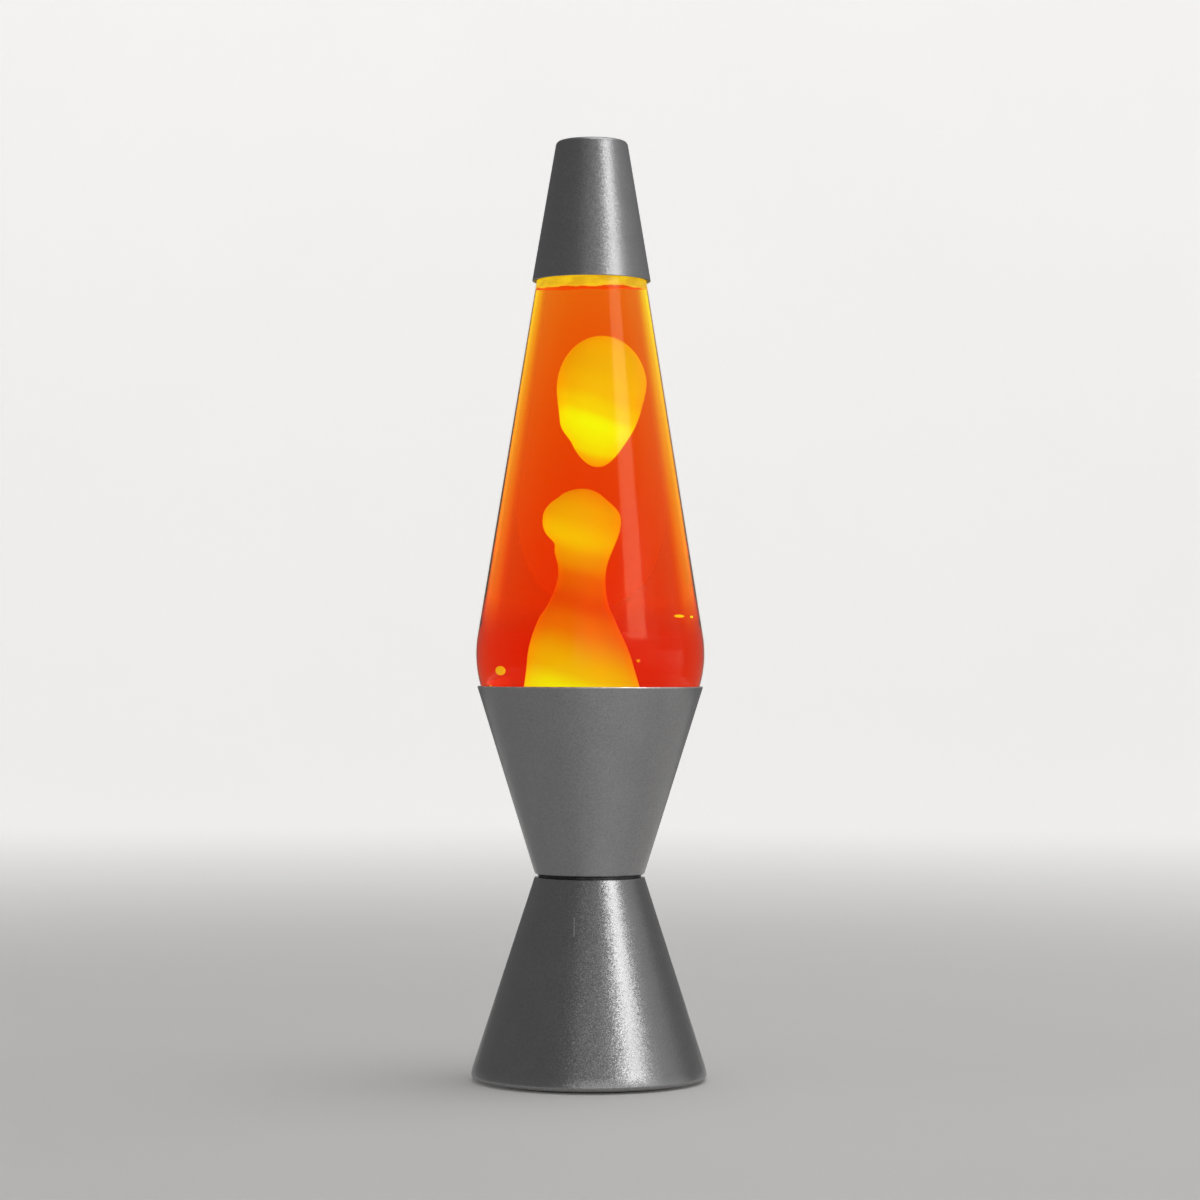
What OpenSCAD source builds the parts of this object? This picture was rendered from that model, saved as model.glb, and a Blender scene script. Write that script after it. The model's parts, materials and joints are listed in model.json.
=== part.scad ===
// Wax-motion table lamp: a silver hourglass base holds a tapered glass globe of tinted
// liquid and wax over a small lamp bulb, and a loose silver cone caps the globe.
// Millimetres, +Z up, origin on the table under the centre of the base. The cord inlet is at +Y.

/* [Base] */
// Overall height from the table to the top of the cap
lamp_h = 414; // [412:0.5:418]
// Largest radius of the base cone, close to the table
base_r = 51.8; // [50:0.1:54]
// Outer radius of both cones where they meet at the waist
waist_r = 24; // [23.5:0.1:25]
// Height of the seam between the two cones
waist_z = 89.8; // [88:0.1:92]
// Thickness of the spun sheet of the base, the bowl and the cap
sheet_t = 0.8; // [0.7:0.05:0.9]
// Height of the base cone's rim above the table
rim_gap = 1; // [0.6:0.1:1.2]

/* [Bowl] */
// Outer radius of the bowl at its rim
bowl_r = 49.7; // [49.6:0.05:50]
// Height of the bowl's rim
bowl_rim_z = 173.2; // [172:0.1:175]

/* [Globe] */
// Largest radius of the glass globe
globe_r = 50.6; // [50.2:0.05:50.7]
// Height of the globe's widest ring
globe_wide_z = 187.5; // [186:0.1:189]
// Radius of the bulge that joins the globe's two cones
globe_bulge_r = 51; // [49:1:52]
// Half angle of the globe's long upper cone, in degrees
globe_angle = 9.23; // [9:0.01:9.5]
// Wall thickness of the glass
glass_t = 2.2; // [1.8:0.1:2.6]
// Height of the flat under the globe
globe_bottom_z = 126; // [125:0.5:128]
// Height of the liquid's surface
liquid_z = 352.2; // [345:0.1:354]

/* [Cap] */
// Height of the cap's rim
cap_rim_z = 352; // [350:0.1:354]
// Outer radius of the cap at its rim
cap_rim_r = 26.25; // [26:0.05:27]
// Outer radius of the cap at its top
cap_top_r = 15.65; // [15.5:0.05:16.5]

/* [Lamp] */
// Largest radius of the lamp bulb
bulb_r = 17.45; // [16:0.1:17.6]
// Length of the lamp bulb with its screw base
bulb_len = 58.7; // [56:0.1:60]
// Radius of the lamp bulb's screw base
thread_r = 8.3; // [8.2:0.05:8.4]
// Radius of the cord's hole in the grommet
cord_hole_r = 3.4; // [3:0.1:3.6]

/* [Hidden] */
$fn = 96;
eps = 0.01;
fit_gap = 0.3; // clearance between pieces that lift apart
soft_gap = 0.12; // clearance between the liquid, the wax and the glass

// ---- Shared shape helpers --------------------------------------------------

// Points on an arc of radius r about [cx, cz], from angle a0 to a1 in degrees.
function arc(cx, cz, r, a0, a1, n = 8) =
  [for (i = [0:n]) let (a = a0 + (a1 - a0) * i / n) [cx + r * cos(a), cz + r * sin(a)]];

// The value between a and b, with a level start and end.
function ease(a, b, t) = a + (b - a) * (1 - cos(180 * t)) / 2;

module revolve(points) rotate_extrude($fn = 120) polygon(points);

module ring(r_in, r_out, z0, z1) translate([0, 0, z0]) difference() {
  cylinder(r = r_out, h = z1 - z0);
  translate([0, 0, -1]) cylinder(r = r_in, h = z1 - z0 + 2);
}

module hex_nut(across, bore_r, h) difference() {
  cylinder(d = across / cos(30), h = h, $fn = 6);
  translate([0, 0, -1]) cylinder(r = bore_r, h = h + 2);
}

// ---- Waist joint -----------------------------------------------------------

bracket_t = 1; // sheet of the bracket that is clamped between the cones
base_top_z = waist_z - bracket_t / 2;
bowl_bottom_z = waist_z + bracket_t / 2;
waist_hole_r = 18.2; // way through the waist for the bulb
bracket_ring_r = 22.6;
leg_x = 19.2; // middle of each bracket leg
leg_t = 1.2;
leg_w = 9;
leg_notch = [leg_t + 2, leg_w + 1.4, 6]; // cut in the base's flange for each leg
screw_ring_r = 20.4;
screw_angles = [90, 210, 330];
screw_r = 1.25;
screw_len = 6.5;
screw_head_r = 2.3;
screw_head_h = 1.7;
screw_hole_r = 1.4;
nut_h = 2;
nut_across = 5;

module at_waist_screws() for (a = screw_angles) rotate(a) translate([screw_ring_r, 0, 0]) children();

// ---- Base cone -------------------------------------------------------------

base_slope = 0.3238; // how far the wall leans out for each millimetre down
base_angle = atan(base_slope);
rim_roll_r = 1.8; // small roll at the foot of the wall
roll_end = 10; // angle at which the roll meets the skirt
skirt_r = 30; // gentle bend that steepens the wall above the roll
rim_roll_z = rim_gap + rim_roll_r;
skirt_c_r = base_r - rim_roll_r + (rim_roll_r - skirt_r) * cos(roll_end);
skirt_c_z = rim_roll_z + (rim_roll_r - skirt_r) * sin(roll_end);
skirt_top_r = skirt_c_r + skirt_r * cos(base_angle);
skirt_top_z = skirt_c_z + skirt_r * sin(base_angle);
wall_h = sheet_t / cos(base_angle); // the wall's thickness measured level
fold_r = base_r - 2.5; // inside of the sheet folded up behind the rim
ledge_z = rim_gap + 2.1; // underside of the inner ledge that the bottom cover bears on
ledge_r = 46;

function base_wall_r(z) = skirt_top_r - base_slope * (z - skirt_top_z);

inlet_z = 18; // height of the cord inlet on the wall
inlet_hole_r = 5.6;

// Places its children on the back of the base wall, with +Z pointing out of the wall.
module at_inlet() translate([0, base_wall_r(inlet_z), inlet_z]) rotate([-(90 - base_angle), 0, 0]) children();

module base_cone() color([0.62, 0.62, 0.62]) difference() {
  revolve(concat(
    [[fold_r, rim_gap + 0.4], [fold_r + 0.4, rim_gap]],
    arc(base_r - rim_roll_r, rim_roll_z, rim_roll_r, -90, roll_end, 6),
    [for (i = [1:4]) arc(skirt_c_r, skirt_c_z, skirt_r, roll_end, base_angle, 4)[i]],
    [[base_wall_r(base_top_z - 0.5), base_top_z - 0.5],
     [base_wall_r(base_top_z) - 0.4, base_top_z],
     [waist_hole_r, base_top_z],
     [waist_hole_r, base_top_z - sheet_t],
     [base_wall_r(base_top_z - sheet_t) - wall_h, base_top_z - sheet_t],
     [skirt_top_r - wall_h, skirt_top_z],
     [fold_r, ledge_z + sheet_t + 0.6],
     [fold_r - 0.6, ledge_z + sheet_t],
     [ledge_r, ledge_z + sheet_t],
     [ledge_r, ledge_z],
     [fold_r, ledge_z]]
  ));
  at_waist_screws() translate([0, 0, base_top_z - 4]) cylinder(r = screw_hole_r, h = 8, $fn = 32);
  for (s = [-1, 1]) translate([s * leg_x, 0, base_top_z]) cube(leg_notch, center = true);
  at_inlet() translate([0, 0, -5]) cylinder(r = inlet_hole_r, h = 10, $fn = 48);
}

// ---- Bowl ------------------------------------------------------------------

bowl_slope = (bowl_r - waist_r - 0.11) / (bowl_rim_z - bowl_bottom_z);
bowl_wall_h = sheet_t / cos(atan(bowl_slope)); // the wall's thickness measured level

function bowl_wall_r(z) = bowl_r - bowl_slope * (bowl_rim_z - z);

bowl_angle = atan(bowl_slope);
bowl_corner_r = 1.8; // rounding where the wall meets the flange
bowl_corner_z = bowl_bottom_z + bowl_corner_r;
bowl_corner_c = bowl_wall_r(bowl_corner_z) - bowl_corner_r / cos(bowl_angle);

module bowl_cone() color([0.66, 0.66, 0.66]) difference() {
  revolve(concat(
    [[waist_hole_r, bowl_bottom_z]],
    arc(bowl_corner_c, bowl_corner_z, bowl_corner_r, -90, -bowl_angle, 6),
    arc(bowl_r - sheet_t / 2, bowl_rim_z - sheet_t / 2, sheet_t / 2, -10, 180, 6),
    [[bowl_wall_r(bowl_rim_z - 2) - bowl_wall_h, bowl_rim_z - 2],
     [bowl_wall_r(bowl_corner_z) - bowl_wall_h, bowl_corner_z],
     [bowl_corner_c, bowl_bottom_z + sheet_t],
     [waist_hole_r, bowl_bottom_z + sheet_t]]
  ));
  at_waist_screws() translate([0, 0, bowl_bottom_z - 4]) cylinder(r = screw_hole_r, h = 8, $fn = 32);
}

// ---- Bottom cover, foot ring and cord grommet ------------------------------

cover_r = fold_r - 0.3;
cover_t = 1.8;
cover_top_z = ledge_z - 0.02; // the cover bears up against the ledge
cover_z = cover_top_z - cover_t;
well_r = 13; // raised well for the nut under the cover
well_top_z = 11;
well_wall = 1.6;
rod_r = 5;
rod_hole_r = 5.25;
foot_in_r = 38;
foot_out_r = 45.5;
foot_h = 2.1; // the ring stands in a groove in the cover
vent_r = 2.5;
vent_ring_r = 27;
vents = 8;

module bottom_cover() color([0.07, 0.07, 0.07]) difference() {
  union() {
    ring(well_r - well_wall, cover_r, cover_z, cover_top_z);
    ring(well_r - well_wall, well_r, cover_z, well_top_z);
    ring(rod_hole_r, well_r, well_top_z - well_wall, well_top_z);
  }
  ring(foot_in_r - 0.1, foot_out_r + 0.1, -1, foot_h);
  for (i = [0:vents - 1]) rotate(i * 360 / vents + 22.5)
    translate([vent_ring_r, 0, -1]) cylinder(r = vent_r, h = 6, $fn = 32);
}

module foot_ring() color([0.1, 0.1, 0.1]) ring(foot_in_r, foot_out_r, 0, foot_h);

grommet_flange_r = 7;
grommet_gap = 0.05; // between the flange and the wall
grommet_out = 1.4;
grommet_in = 4.2; // length inside the wall

module cord_grommet() color([0.12, 0.12, 0.12]) at_inlet() difference() {
  union() {
    translate([0, 0, grommet_gap])
      cylinder(r1 = grommet_flange_r, r2 = grommet_flange_r - 0.8, h = grommet_out, $fn = 64);
    translate([0, 0, -grommet_in]) cylinder(r = inlet_hole_r - 0.25, h = grommet_in + 0.5, $fn = 64);
    translate([0, 0, -grommet_in]) cylinder(r = inlet_hole_r + 0.8, h = 1.4, $fn = 64);
  }
  translate([0, 0, -grommet_in - 1]) cylinder(r = cord_hole_r, h = grommet_in + grommet_out + 3, $fn = 64);
}

// ---- Central rod and its nuts ----------------------------------------------

rod_bottom_z = 3.4;
bar_z = 41; // underside of the bracket's bottom bar
bar_t = 1.2;
holder_z = bar_z + bar_t; // underside of the lampholder
rod_top_z = holder_z + 5;
rod_nut_across = 14;
rod_nut_h = 3.2;
washer_r = 8.5;
washer_t = 1;

module central_rod() color([0.8, 0.78, 0.72]) ring(3.6, rod_r, rod_bottom_z, rod_top_z);

module lower_washer() color([0.75, 0.75, 0.74])
  ring(rod_r + 0.2, washer_r, well_top_z - well_wall - washer_t - 0.02, well_top_z - well_wall - 0.02);

module rod_nut(z) translate([0, 0, z]) hex_nut(rod_nut_across, rod_r + 0.02, rod_nut_h);

module lower_nut() color([0.8, 0.76, 0.6]) rod_nut(well_top_z - well_wall - washer_t - rod_nut_h - 0.04);

module bracket_nut() color([0.8, 0.76, 0.6]) rod_nut(bar_z - rod_nut_h - 0.02);

// ---- Socket bracket and waist fasteners ------------------------------------

module socket_bracket() color([0.74, 0.75, 0.76]) difference() {
  union() {
    ring(waist_hole_r, bracket_ring_r, base_top_z, bowl_bottom_z);
    for (s = [-1, 1]) translate([s * leg_x, 0, (bar_z + waist_z) / 2])
      cube([leg_t, leg_w, waist_z - bar_z], center = true);
    translate([0, 0, bar_z + bar_t / 2]) cube([2 * leg_x + leg_t, leg_w + 6, bar_t], center = true);
  }
  translate([0, 0, bar_z - 1]) cylinder(r = rod_r + 0.2, h = bar_t + 2);
  at_waist_screws() translate([0, 0, waist_z - 4]) cylinder(r = screw_hole_r, h = 8, $fn = 32);
}

// Pan-head screws with a cross recess, dropped in from inside the bowl.
module waist_screws() color([0.78, 0.78, 0.76]) at_waist_screws() translate([0, 0, bowl_bottom_z + sheet_t]) {
  difference() {
    union() {
      cylinder(r1 = screw_head_r, r2 = screw_head_r - 0.6, h = screw_head_h, $fn = 48);
      translate([0, 0, -screw_len]) cylinder(r = screw_r, h = screw_len + 0.5, $fn = 32);
    }
    for (a = [0, 90]) rotate(a)
      translate([0, 0, screw_head_h]) cube([2.2, 0.5, 1.6], center = true);
  }
}

module waist_nuts() color([0.78, 0.78, 0.76]) at_waist_screws()
  translate([0, 0, base_top_z - sheet_t - nut_h - 0.02]) rotate(30)
    hex_nut(nut_across, screw_r + 0.03, nut_h);

// ---- Lampholder ------------------------------------------------------------

holder_r = 13.5;
holder_top_z = holder_z + 31;
holder_floor_z = holder_z + 8.5;
shell_r = 9.2;
shell_bore_r = thread_r + 0.25;
holder_bore_r = shell_r + 0.05;
terminal_z = holder_z + 5.75;
contact_z = holder_floor_z + 2.6; // where the bulb's tip meets the spring

module lampholder_body() color([0.9, 0.88, 0.82]) difference() {
  revolve([
    [rod_r + 0.02, holder_z], [holder_r - 2.5, holder_z], [holder_r - 1, holder_z + 1.5],
    [holder_r - 1, holder_z + 12], [holder_r, holder_z + 13], [holder_r, holder_top_z - 1.2],
    [holder_r - 1.2, holder_top_z], [holder_bore_r + 0.4, holder_top_z],
    [holder_bore_r, holder_top_z - 0.4], [holder_bore_r, holder_floor_z],
    [2.2, holder_floor_z], [2.2, holder_z + 5.6], [rod_r + 0.02, holder_z + 5.6]
  ]);
  // pockets for the two side terminals
  for (s = [-1, 1]) translate([0, s * holder_r, terminal_z]) cube([7, 8, 4.5], center = true);
}

module lampholder_shell() color([0.83, 0.7, 0.38]) difference() {
  union() {
    ring(shell_bore_r, shell_r, holder_floor_z + 4, holder_top_z - 1);
    ring(shell_bore_r - 2, shell_r, holder_floor_z + 3.2, holder_floor_z + 4 + eps);
  }
  // pressed flutes that stop the shell turning in the body
  for (a = [0:60:300]) rotate(a) translate([shell_r + 0.3, 0, holder_z + 14])
    cylinder(r = 0.5, h = 12, $fn = 24);
}

// A sprung tab on the holder's floor that presses on the bulb's tip.
module lampholder_contact() color([0.85, 0.66, 0.3]) union() {
  translate([-4.5, -2, holder_floor_z]) cube([7, 4, 0.5]);
  translate([-4.5, -2, holder_floor_z]) cube([0.5, 4, 2.2]);
  translate([-4.5, -2, holder_floor_z + 1.7]) cube([6.5, 4, 0.5]);
  translate([0, 0, holder_floor_z + 2.2 - eps]) cylinder(r = 1.5, h = 0.3, $fn = 32);
}

// Two brass side terminals, each a block with its clamp screw.
module lampholder_terminals() color([0.82, 0.68, 0.36]) for (s = [-1, 1])
  translate([0, s * (holder_r - 2.2), terminal_z]) difference() {
    union() {
      cube([6, 3.4, 4], center = true);
      rotate([s * -90, 0, 0]) translate([0, 0, 1.7 - eps]) cylinder(r = 1.7, h = 1.2, $fn = 40);
    }
    translate([0, s * 3, 0]) cube([3, 0.9, 0.5], center = true);
  }

// ---- Bulb ------------------------------------------------------------------

bulb_z = contact_z + 0.05; // tip of the bulb
bulb_top_z = bulb_z + bulb_len;
screw_base_z = bulb_z + 3.6;
screw_base_h = 14.5;
bulb_neck_z = screw_base_z + screw_base_h;
bulb_glass_t = 0.6;
bulb_neck_r = 7.3;
bulb_wide_z = bulb_top_z - bulb_r;
bulb_foot_z = bulb_neck_z - 3; // the glass reaches down into the screw shell

// The bulb's outline, moved in by t: a slender neck that flares to a round top.
function bulb_outline(t) = concat(
  [for (i = [0:8]) [ease(bulb_neck_r, bulb_r, i / 8) - t, bulb_foot_z + (bulb_wide_z - bulb_foot_z) * i / 8]],
  arc(0, bulb_wide_z, bulb_r - t, 10, 90, 10)
);

module bulb_glass() color([1, 0.97, 0.85, 0.4]) revolve(concat(
  bulb_outline(0),
  [for (i = [0:19]) bulb_outline(bulb_glass_t)[19 - i]]
));

module bulb_screw_shell() color([0.8, 0.8, 0.78])
  difference() {
    ring(thread_r - 0.5, thread_r, screw_base_z, bulb_neck_z);
    // crimp where the shell ends under the glass
    translate([0, 0, bulb_neck_z - 0.8]) difference() {
      cylinder(r = thread_r + 1, h = 1);
      translate([0, 0, -eps]) cylinder(r1 = thread_r, r2 = thread_r - 0.25, h = 1.1);
    }
  }

// Glass insulator and solder tip under the screw shell. They are round, so they only rise and fall.
module bulb_contact() color([0.12, 0.11, 0.12]) revolve([
  [0, bulb_z], [1.6, bulb_z], [2.4, bulb_z + 0.7], [3, bulb_z + 1.1], [6, bulb_z + 2.4],
  [thread_r - 0.9, screw_base_z - 0.1], [thread_r - 0.9, screw_base_z + 1.4], [0, screw_base_z + 1.4]
]);

stem_top_z = bulb_neck_z + 13;
filament_z = bulb_neck_z + 24;
filament_r = 7;
lead_r = 0.35;

// Glass stem with its two lead wires and the middle support.
module bulb_stem() color([0.85, 0.88, 0.86]) union() {
  revolve([
    [0, bulb_neck_z - 2.5], [bulb_neck_r - bulb_glass_t - 0.15, bulb_neck_z - 2.5],
    [bulb_neck_r - bulb_glass_t - 0.15, bulb_neck_z - 1.6], [3, bulb_neck_z + 1.5],
    [2, stem_top_z - 1], [1.4, stem_top_z], [0, stem_top_z]
  ]);
  for (s = [-1, 1]) translate([s * 1, 0, stem_top_z - 3]) rotate([0, s * lead_tilt, 0])
    cylinder(r = lead_r, h = lead_len, $fn = 24);
}

lead_tilt = atan((filament_r - 1) / (filament_z - stem_top_z + 3)) - 3;
lead_len = norm([filament_r - 1, filament_z - stem_top_z + 3]) - 1.6;

// The coiled tungsten wire, as the arch that its coil follows.
module filament() color([0.95, 0.8, 0.4]) translate([0, 0, filament_z - 3]) rotate([90, 0, 0]) difference() {
  rotate_extrude($fn = 64) translate([filament_r, 0]) circle(r = 0.4, $fn = 24);
  translate([-20, -40, -20]) cube([40, 40, 40]);
}

// ---- Globe glass -----------------------------------------------------------

seat_angle = atan(bowl_slope);
globe_foot_r = 7; // rounding where the lower cone meets the flat
crown_t = 0.3; // tin plate of the crown closure
liner_t = 0.6;
crown_z = lamp_h - sheet_t - fit_gap; // the loose cap rests on the crown closure
finish_top_z = crown_z - crown_t - liner_t;
neck_r = 12.4;
finish_r = 13.2; // bead that the closure is crimped on
shoulder_z = 387;
shoulder_r = 6;
neck_z = 398;

function globe_cone_r(z) =
  globe_r - globe_bulge_r * (1 - cos(globe_angle))
  - tan(globe_angle) * (z - globe_wide_z - globe_bulge_r * sin(globe_angle));

seat_top_z = globe_wide_z - globe_bulge_r * sin(seat_angle);
seat_top_r = globe_r - globe_bulge_r * (1 - cos(seat_angle));
function globe_seat_r(z) = seat_top_r - bowl_slope * (seat_top_z - z);

// Centre of the rounding at the globe's foot.
foot_c_z = globe_bottom_z + globe_foot_r;
foot_c_r = globe_seat_r(foot_c_z) - globe_foot_r / cos(seat_angle);

shoulder_c_r = globe_cone_r(shoulder_z) - shoulder_r / cos(globe_angle);

// The globe's outline from its bottom centre to the neck, moved in by t.
function globe_outline(t) = concat(
  [[0, globe_bottom_z + 2.5 + t], [14, globe_bottom_z + 2 + t], [foot_c_r - 6, globe_bottom_z + t]],
  arc(foot_c_r, foot_c_z, globe_foot_r - t, -90, -seat_angle, 6),
  arc(globe_r - globe_bulge_r, globe_wide_z, globe_bulge_r - t, -seat_angle, globe_angle, 10),
  arc(shoulder_c_r, shoulder_z, shoulder_r - t, globe_angle, 78, 6)
);

module globe_glass() color([1, 0.75, 0.35, 0.3]) revolve(concat(
  globe_outline(0),
  [[neck_r + 0.5, neck_z - 4], [neck_r, neck_z - 2], [neck_r, finish_top_z - 4.2],
   [finish_r, finish_top_z - 3.4], [finish_r, finish_top_z - 1.6]],
  arc(finish_r - 1.6, finish_top_z - 1.6, 1.6, 15, 90, 4),
  [[neck_r - glass_t - 0.6, finish_top_z], [neck_r - glass_t - 0.9, finish_top_z - 1],
   [neck_r - glass_t, neck_z - 2]],
  [for (i = [len(globe_outline(glass_t)) - 1:-1:0]) globe_outline(glass_t)[i]]
));

// ---- Wax -------------------------------------------------------------------

pool_z = 150; // level of the wax pool around the column
wax_t = glass_t + soft_gap;
column_x = -2.9; // the column stands a little left of the middle
column_foot_z = pool_z - 4;
column_foot_r = 32;
mound_z = 171; // top of the foot's flare, where the mound begins
mound_r = 19.3;
column_neck_z = 223;
column_neck_r = 7.7;
column_head_z = 246;
column_head_r = 13.1;
column_top_z = 260.3;
lobe_r = 7.6; // bulge on the left of the column's head
lobe_at = [column_x - 7.4, 2.5, 245.5];
blob_x = 3.6;
blob_z = 305; // height of the blob's widest ring
blob_r = 14.8;
blob_tail = 35.1; // from the widest ring down to the tip
blob_top = 23.2; // and up to the crown of the blob
blob_point = 1.45; // above 1, the tail runs to a finer point

coil_ring_r = 22;
coil_r = 3.6;
coil_z = globe_bottom_z + glass_t + 6.5;

// Points of a smooth swell from radius r0 at z0 to r1 at z1, without the last point.
function swell(r0, r1, z0, z1, extra, n = 6) =
  [for (i = [0:n - 1]) [ease(r0, r1, i / n) + extra, z0 + (z1 - z0) * i / n]];

// Column of wax: foot, mound, neck and round head, grown by extra all over.
module column_solid(extra) {
  translate([column_x, 0, 0]) revolve(concat(
    [[0, column_foot_z]],
    swell(column_foot_r, mound_r, column_foot_z, mound_z, extra),
    swell(mound_r, column_neck_r, mound_z, column_neck_z, extra, 10),
    swell(column_neck_r, column_head_r, column_neck_z, column_head_z, extra),
    [for (i = [0:7]) let (a = 90 * i / 7)
      [i == 7 ? 0 : (column_head_r + extra) * cos(a),
       column_head_z + (column_top_z - column_head_z + extra) * sin(a)]]
  ));
  translate(lobe_at) sphere(r = lobe_r + extra, $fn = 60);
}

module pool_solid(t) revolve(concat(
  globe_outline_below(t, pool_z),
  [[0, pool_z]]
));

// The globe's outline below height z, moved in by t and closed level at the top.
function globe_outline_below(t, z) = concat(
  [[0, globe_bottom_z + 2.5 + t], [14, globe_bottom_z + 2 + t], [foot_c_r - 6, globe_bottom_z + t]],
  arc(foot_c_r, foot_c_z, globe_foot_r - t, -90, -seat_angle, 6),
  [[globe_seat_r(z) - t / cos(seat_angle), z]]
);

module coil_solid(extra) translate([0, 0, coil_z])
  rotate_extrude($fn = 96) translate([coil_ring_r, 0]) circle(r = coil_r + extra, $fn = 40);

module wax_column() color([1, 0.62, 0.05]) difference() {
  union() {
    pool_solid(wax_t);
    column_solid(0);
  }
  coil_solid(soft_gap);
}

module blob_solid(extra) translate([blob_x, 0, blob_z]) revolve(concat(
  [for (i = [0:8]) let (a = -90 + 90 * i / 9)
    [i == 0 ? 0 : blob_r * pow(cos(a), blob_point) + extra, (blob_tail + extra) * sin(a)]],
  [for (i = [0:7]) let (a = 90 * i / 7)
    [i == 7 ? 0 : (blob_r + extra) * cos(a), (blob_top + extra) * sin(a)]]
));

module wax_blob() color([1, 0.78, 0.05]) blob_solid(0);

// Small drops of wax that hang in the liquid: x, y, height and radius.
drops = [
  [-28.2, 0, 179, 1.9], [31.6, 0, 203, 0.8], [33.4, 0.5, 203.1, 0.7],
  [-33, 6, 176.5, 0.6], [16.5, -6, 185.1, 0.6]
];

module drops_solid(extra) for (d = drops) translate([d[0], d[1], d[2]]) sphere(r = d[3] + extra, $fn = 32);

module wax_droplets() color([1, 0.6, 0.1]) drops_solid(0);

// Ring of coiled wire that lies in the wax and helps it warm and rejoin, as its outer shape.
module wax_coil() color([0.7, 0.7, 0.7]) coil_solid(0);

module liquid() color([1, 0.35, 0.05, 0.5]) difference() {
  revolve(concat(
    [[0, pool_z + soft_gap]],
    [[globe_seat_r(pool_z) - wax_t / cos(seat_angle), pool_z + soft_gap]],
    arc(globe_r - globe_bulge_r, globe_wide_z, globe_bulge_r - wax_t, -seat_angle, globe_angle, 10),
    [[globe_cone_r(liquid_z) - wax_t / cos(globe_angle), liquid_z], [0, liquid_z]]
  ));
  column_solid(soft_gap);
  blob_solid(soft_gap);
  drops_solid(soft_gap);
}

// ---- Crown closure ---------------------------------------------------------

crown_skirt_r = 14.4;
crown_top_r = 13.6;
crown_h = 6;
crown_flutes = 21;

module crown_closure() color([0.8, 0.8, 0.8]) difference() {
  revolve([
    [0, crown_z], [crown_top_r - 1.2, crown_z], [crown_top_r, crown_z - 1],
    [crown_top_r + 0.3, crown_z - 3.6], [crown_skirt_r, crown_z - crown_h],
    [crown_skirt_r - 0.4, crown_z - crown_h], [crown_top_r, crown_z - 3.7],
    [crown_top_r - crown_t, crown_z - 1.1], [crown_top_r - 1.3, crown_z - crown_t], [0, crown_z - crown_t]
  ]);
  for (i = [0:crown_flutes - 1]) rotate(i * 360 / crown_flutes)
    translate([crown_skirt_r + 0.5, 0, crown_z - crown_h - 1]) cylinder(r = 0.7, h = 3, $fn = 24);
}

module crown_liner() color([0.85, 0.85, 0.8])
  translate([0, 0, finish_top_z + 0.01]) cylinder(r = crown_top_r - 1.5, h = liner_t - 0.02);

// ---- Cap -------------------------------------------------------------------

cap_slope = (cap_rim_r - cap_top_r) / (lamp_h - cap_rim_z);
cap_angle = atan(cap_slope);
cap_wall_h = sheet_t / cos(cap_angle);
cap_edge_r = 2.2; // rounding at the top

function cap_wall_r(z) = cap_rim_r - cap_slope * (z - cap_rim_z);
cap_edge_c = cap_wall_r(lamp_h - cap_edge_r) - cap_edge_r / cos(cap_angle);

module cap() color([0.62, 0.62, 0.62]) revolve(concat(
  [[cap_rim_r - cap_wall_h + 0.15, cap_rim_z], [cap_rim_r - 0.15, cap_rim_z]],
  [[cap_wall_r(cap_rim_z + 0.2), cap_rim_z + 0.2]],
  arc(cap_edge_c, lamp_h - cap_edge_r, cap_edge_r, cap_angle, 90, 7),
  [[0, lamp_h], [0, lamp_h - sheet_t]],
  arc(cap_edge_c, lamp_h - cap_edge_r, cap_edge_r - sheet_t, 90, cap_angle, 5),
  [[cap_wall_r(cap_rim_z + 0.3) - cap_wall_h, cap_rim_z + 0.3]]
));

// ---- Nodes -----------------------------------------------------------------

base_cone();
bowl_cone();
bottom_cover();
foot_ring();
cord_grommet();
central_rod();
lower_washer();
lower_nut();
bracket_nut();
socket_bracket();
waist_screws();
waist_nuts();
lampholder_body();
lampholder_shell();
lampholder_contact();
lampholder_terminals();
bulb_screw_shell();
bulb_contact();
bulb_glass();
bulb_stem();
filament();
globe_glass();
liquid();
wax_column();
wax_blob();
wax_droplets();
wax_coil();
crown_closure();
crown_liner();
cap();
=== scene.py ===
"""Looks of a wax-motion lamp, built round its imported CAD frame.

Metres, +Z up, origin on the table under the centre of the base, front towards -Y.
Turned pieces are (radius, height) outlines spun round the lamp's axis; mm turns millimetres into metres.
"""

import json
from math import atan, atan2, cos, degrees, exp, pi, radians, sin, tan

import bmesh
import bpy
from mathutils import Matrix, Vector


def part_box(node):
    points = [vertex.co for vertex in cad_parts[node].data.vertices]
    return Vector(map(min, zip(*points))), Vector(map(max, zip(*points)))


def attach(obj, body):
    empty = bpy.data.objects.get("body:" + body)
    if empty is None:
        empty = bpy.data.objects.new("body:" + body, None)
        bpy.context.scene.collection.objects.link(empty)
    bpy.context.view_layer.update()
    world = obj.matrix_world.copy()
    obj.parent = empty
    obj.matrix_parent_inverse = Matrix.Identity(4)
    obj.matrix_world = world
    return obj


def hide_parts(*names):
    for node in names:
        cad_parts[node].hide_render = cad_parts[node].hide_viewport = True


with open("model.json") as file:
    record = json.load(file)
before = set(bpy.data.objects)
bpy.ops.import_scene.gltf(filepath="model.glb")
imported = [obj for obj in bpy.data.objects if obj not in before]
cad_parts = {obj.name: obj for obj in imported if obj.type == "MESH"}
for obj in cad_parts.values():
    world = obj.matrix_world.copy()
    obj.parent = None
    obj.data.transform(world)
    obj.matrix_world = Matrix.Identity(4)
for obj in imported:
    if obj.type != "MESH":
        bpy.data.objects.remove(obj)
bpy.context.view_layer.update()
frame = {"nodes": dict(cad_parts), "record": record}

mm = 0.001

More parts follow.
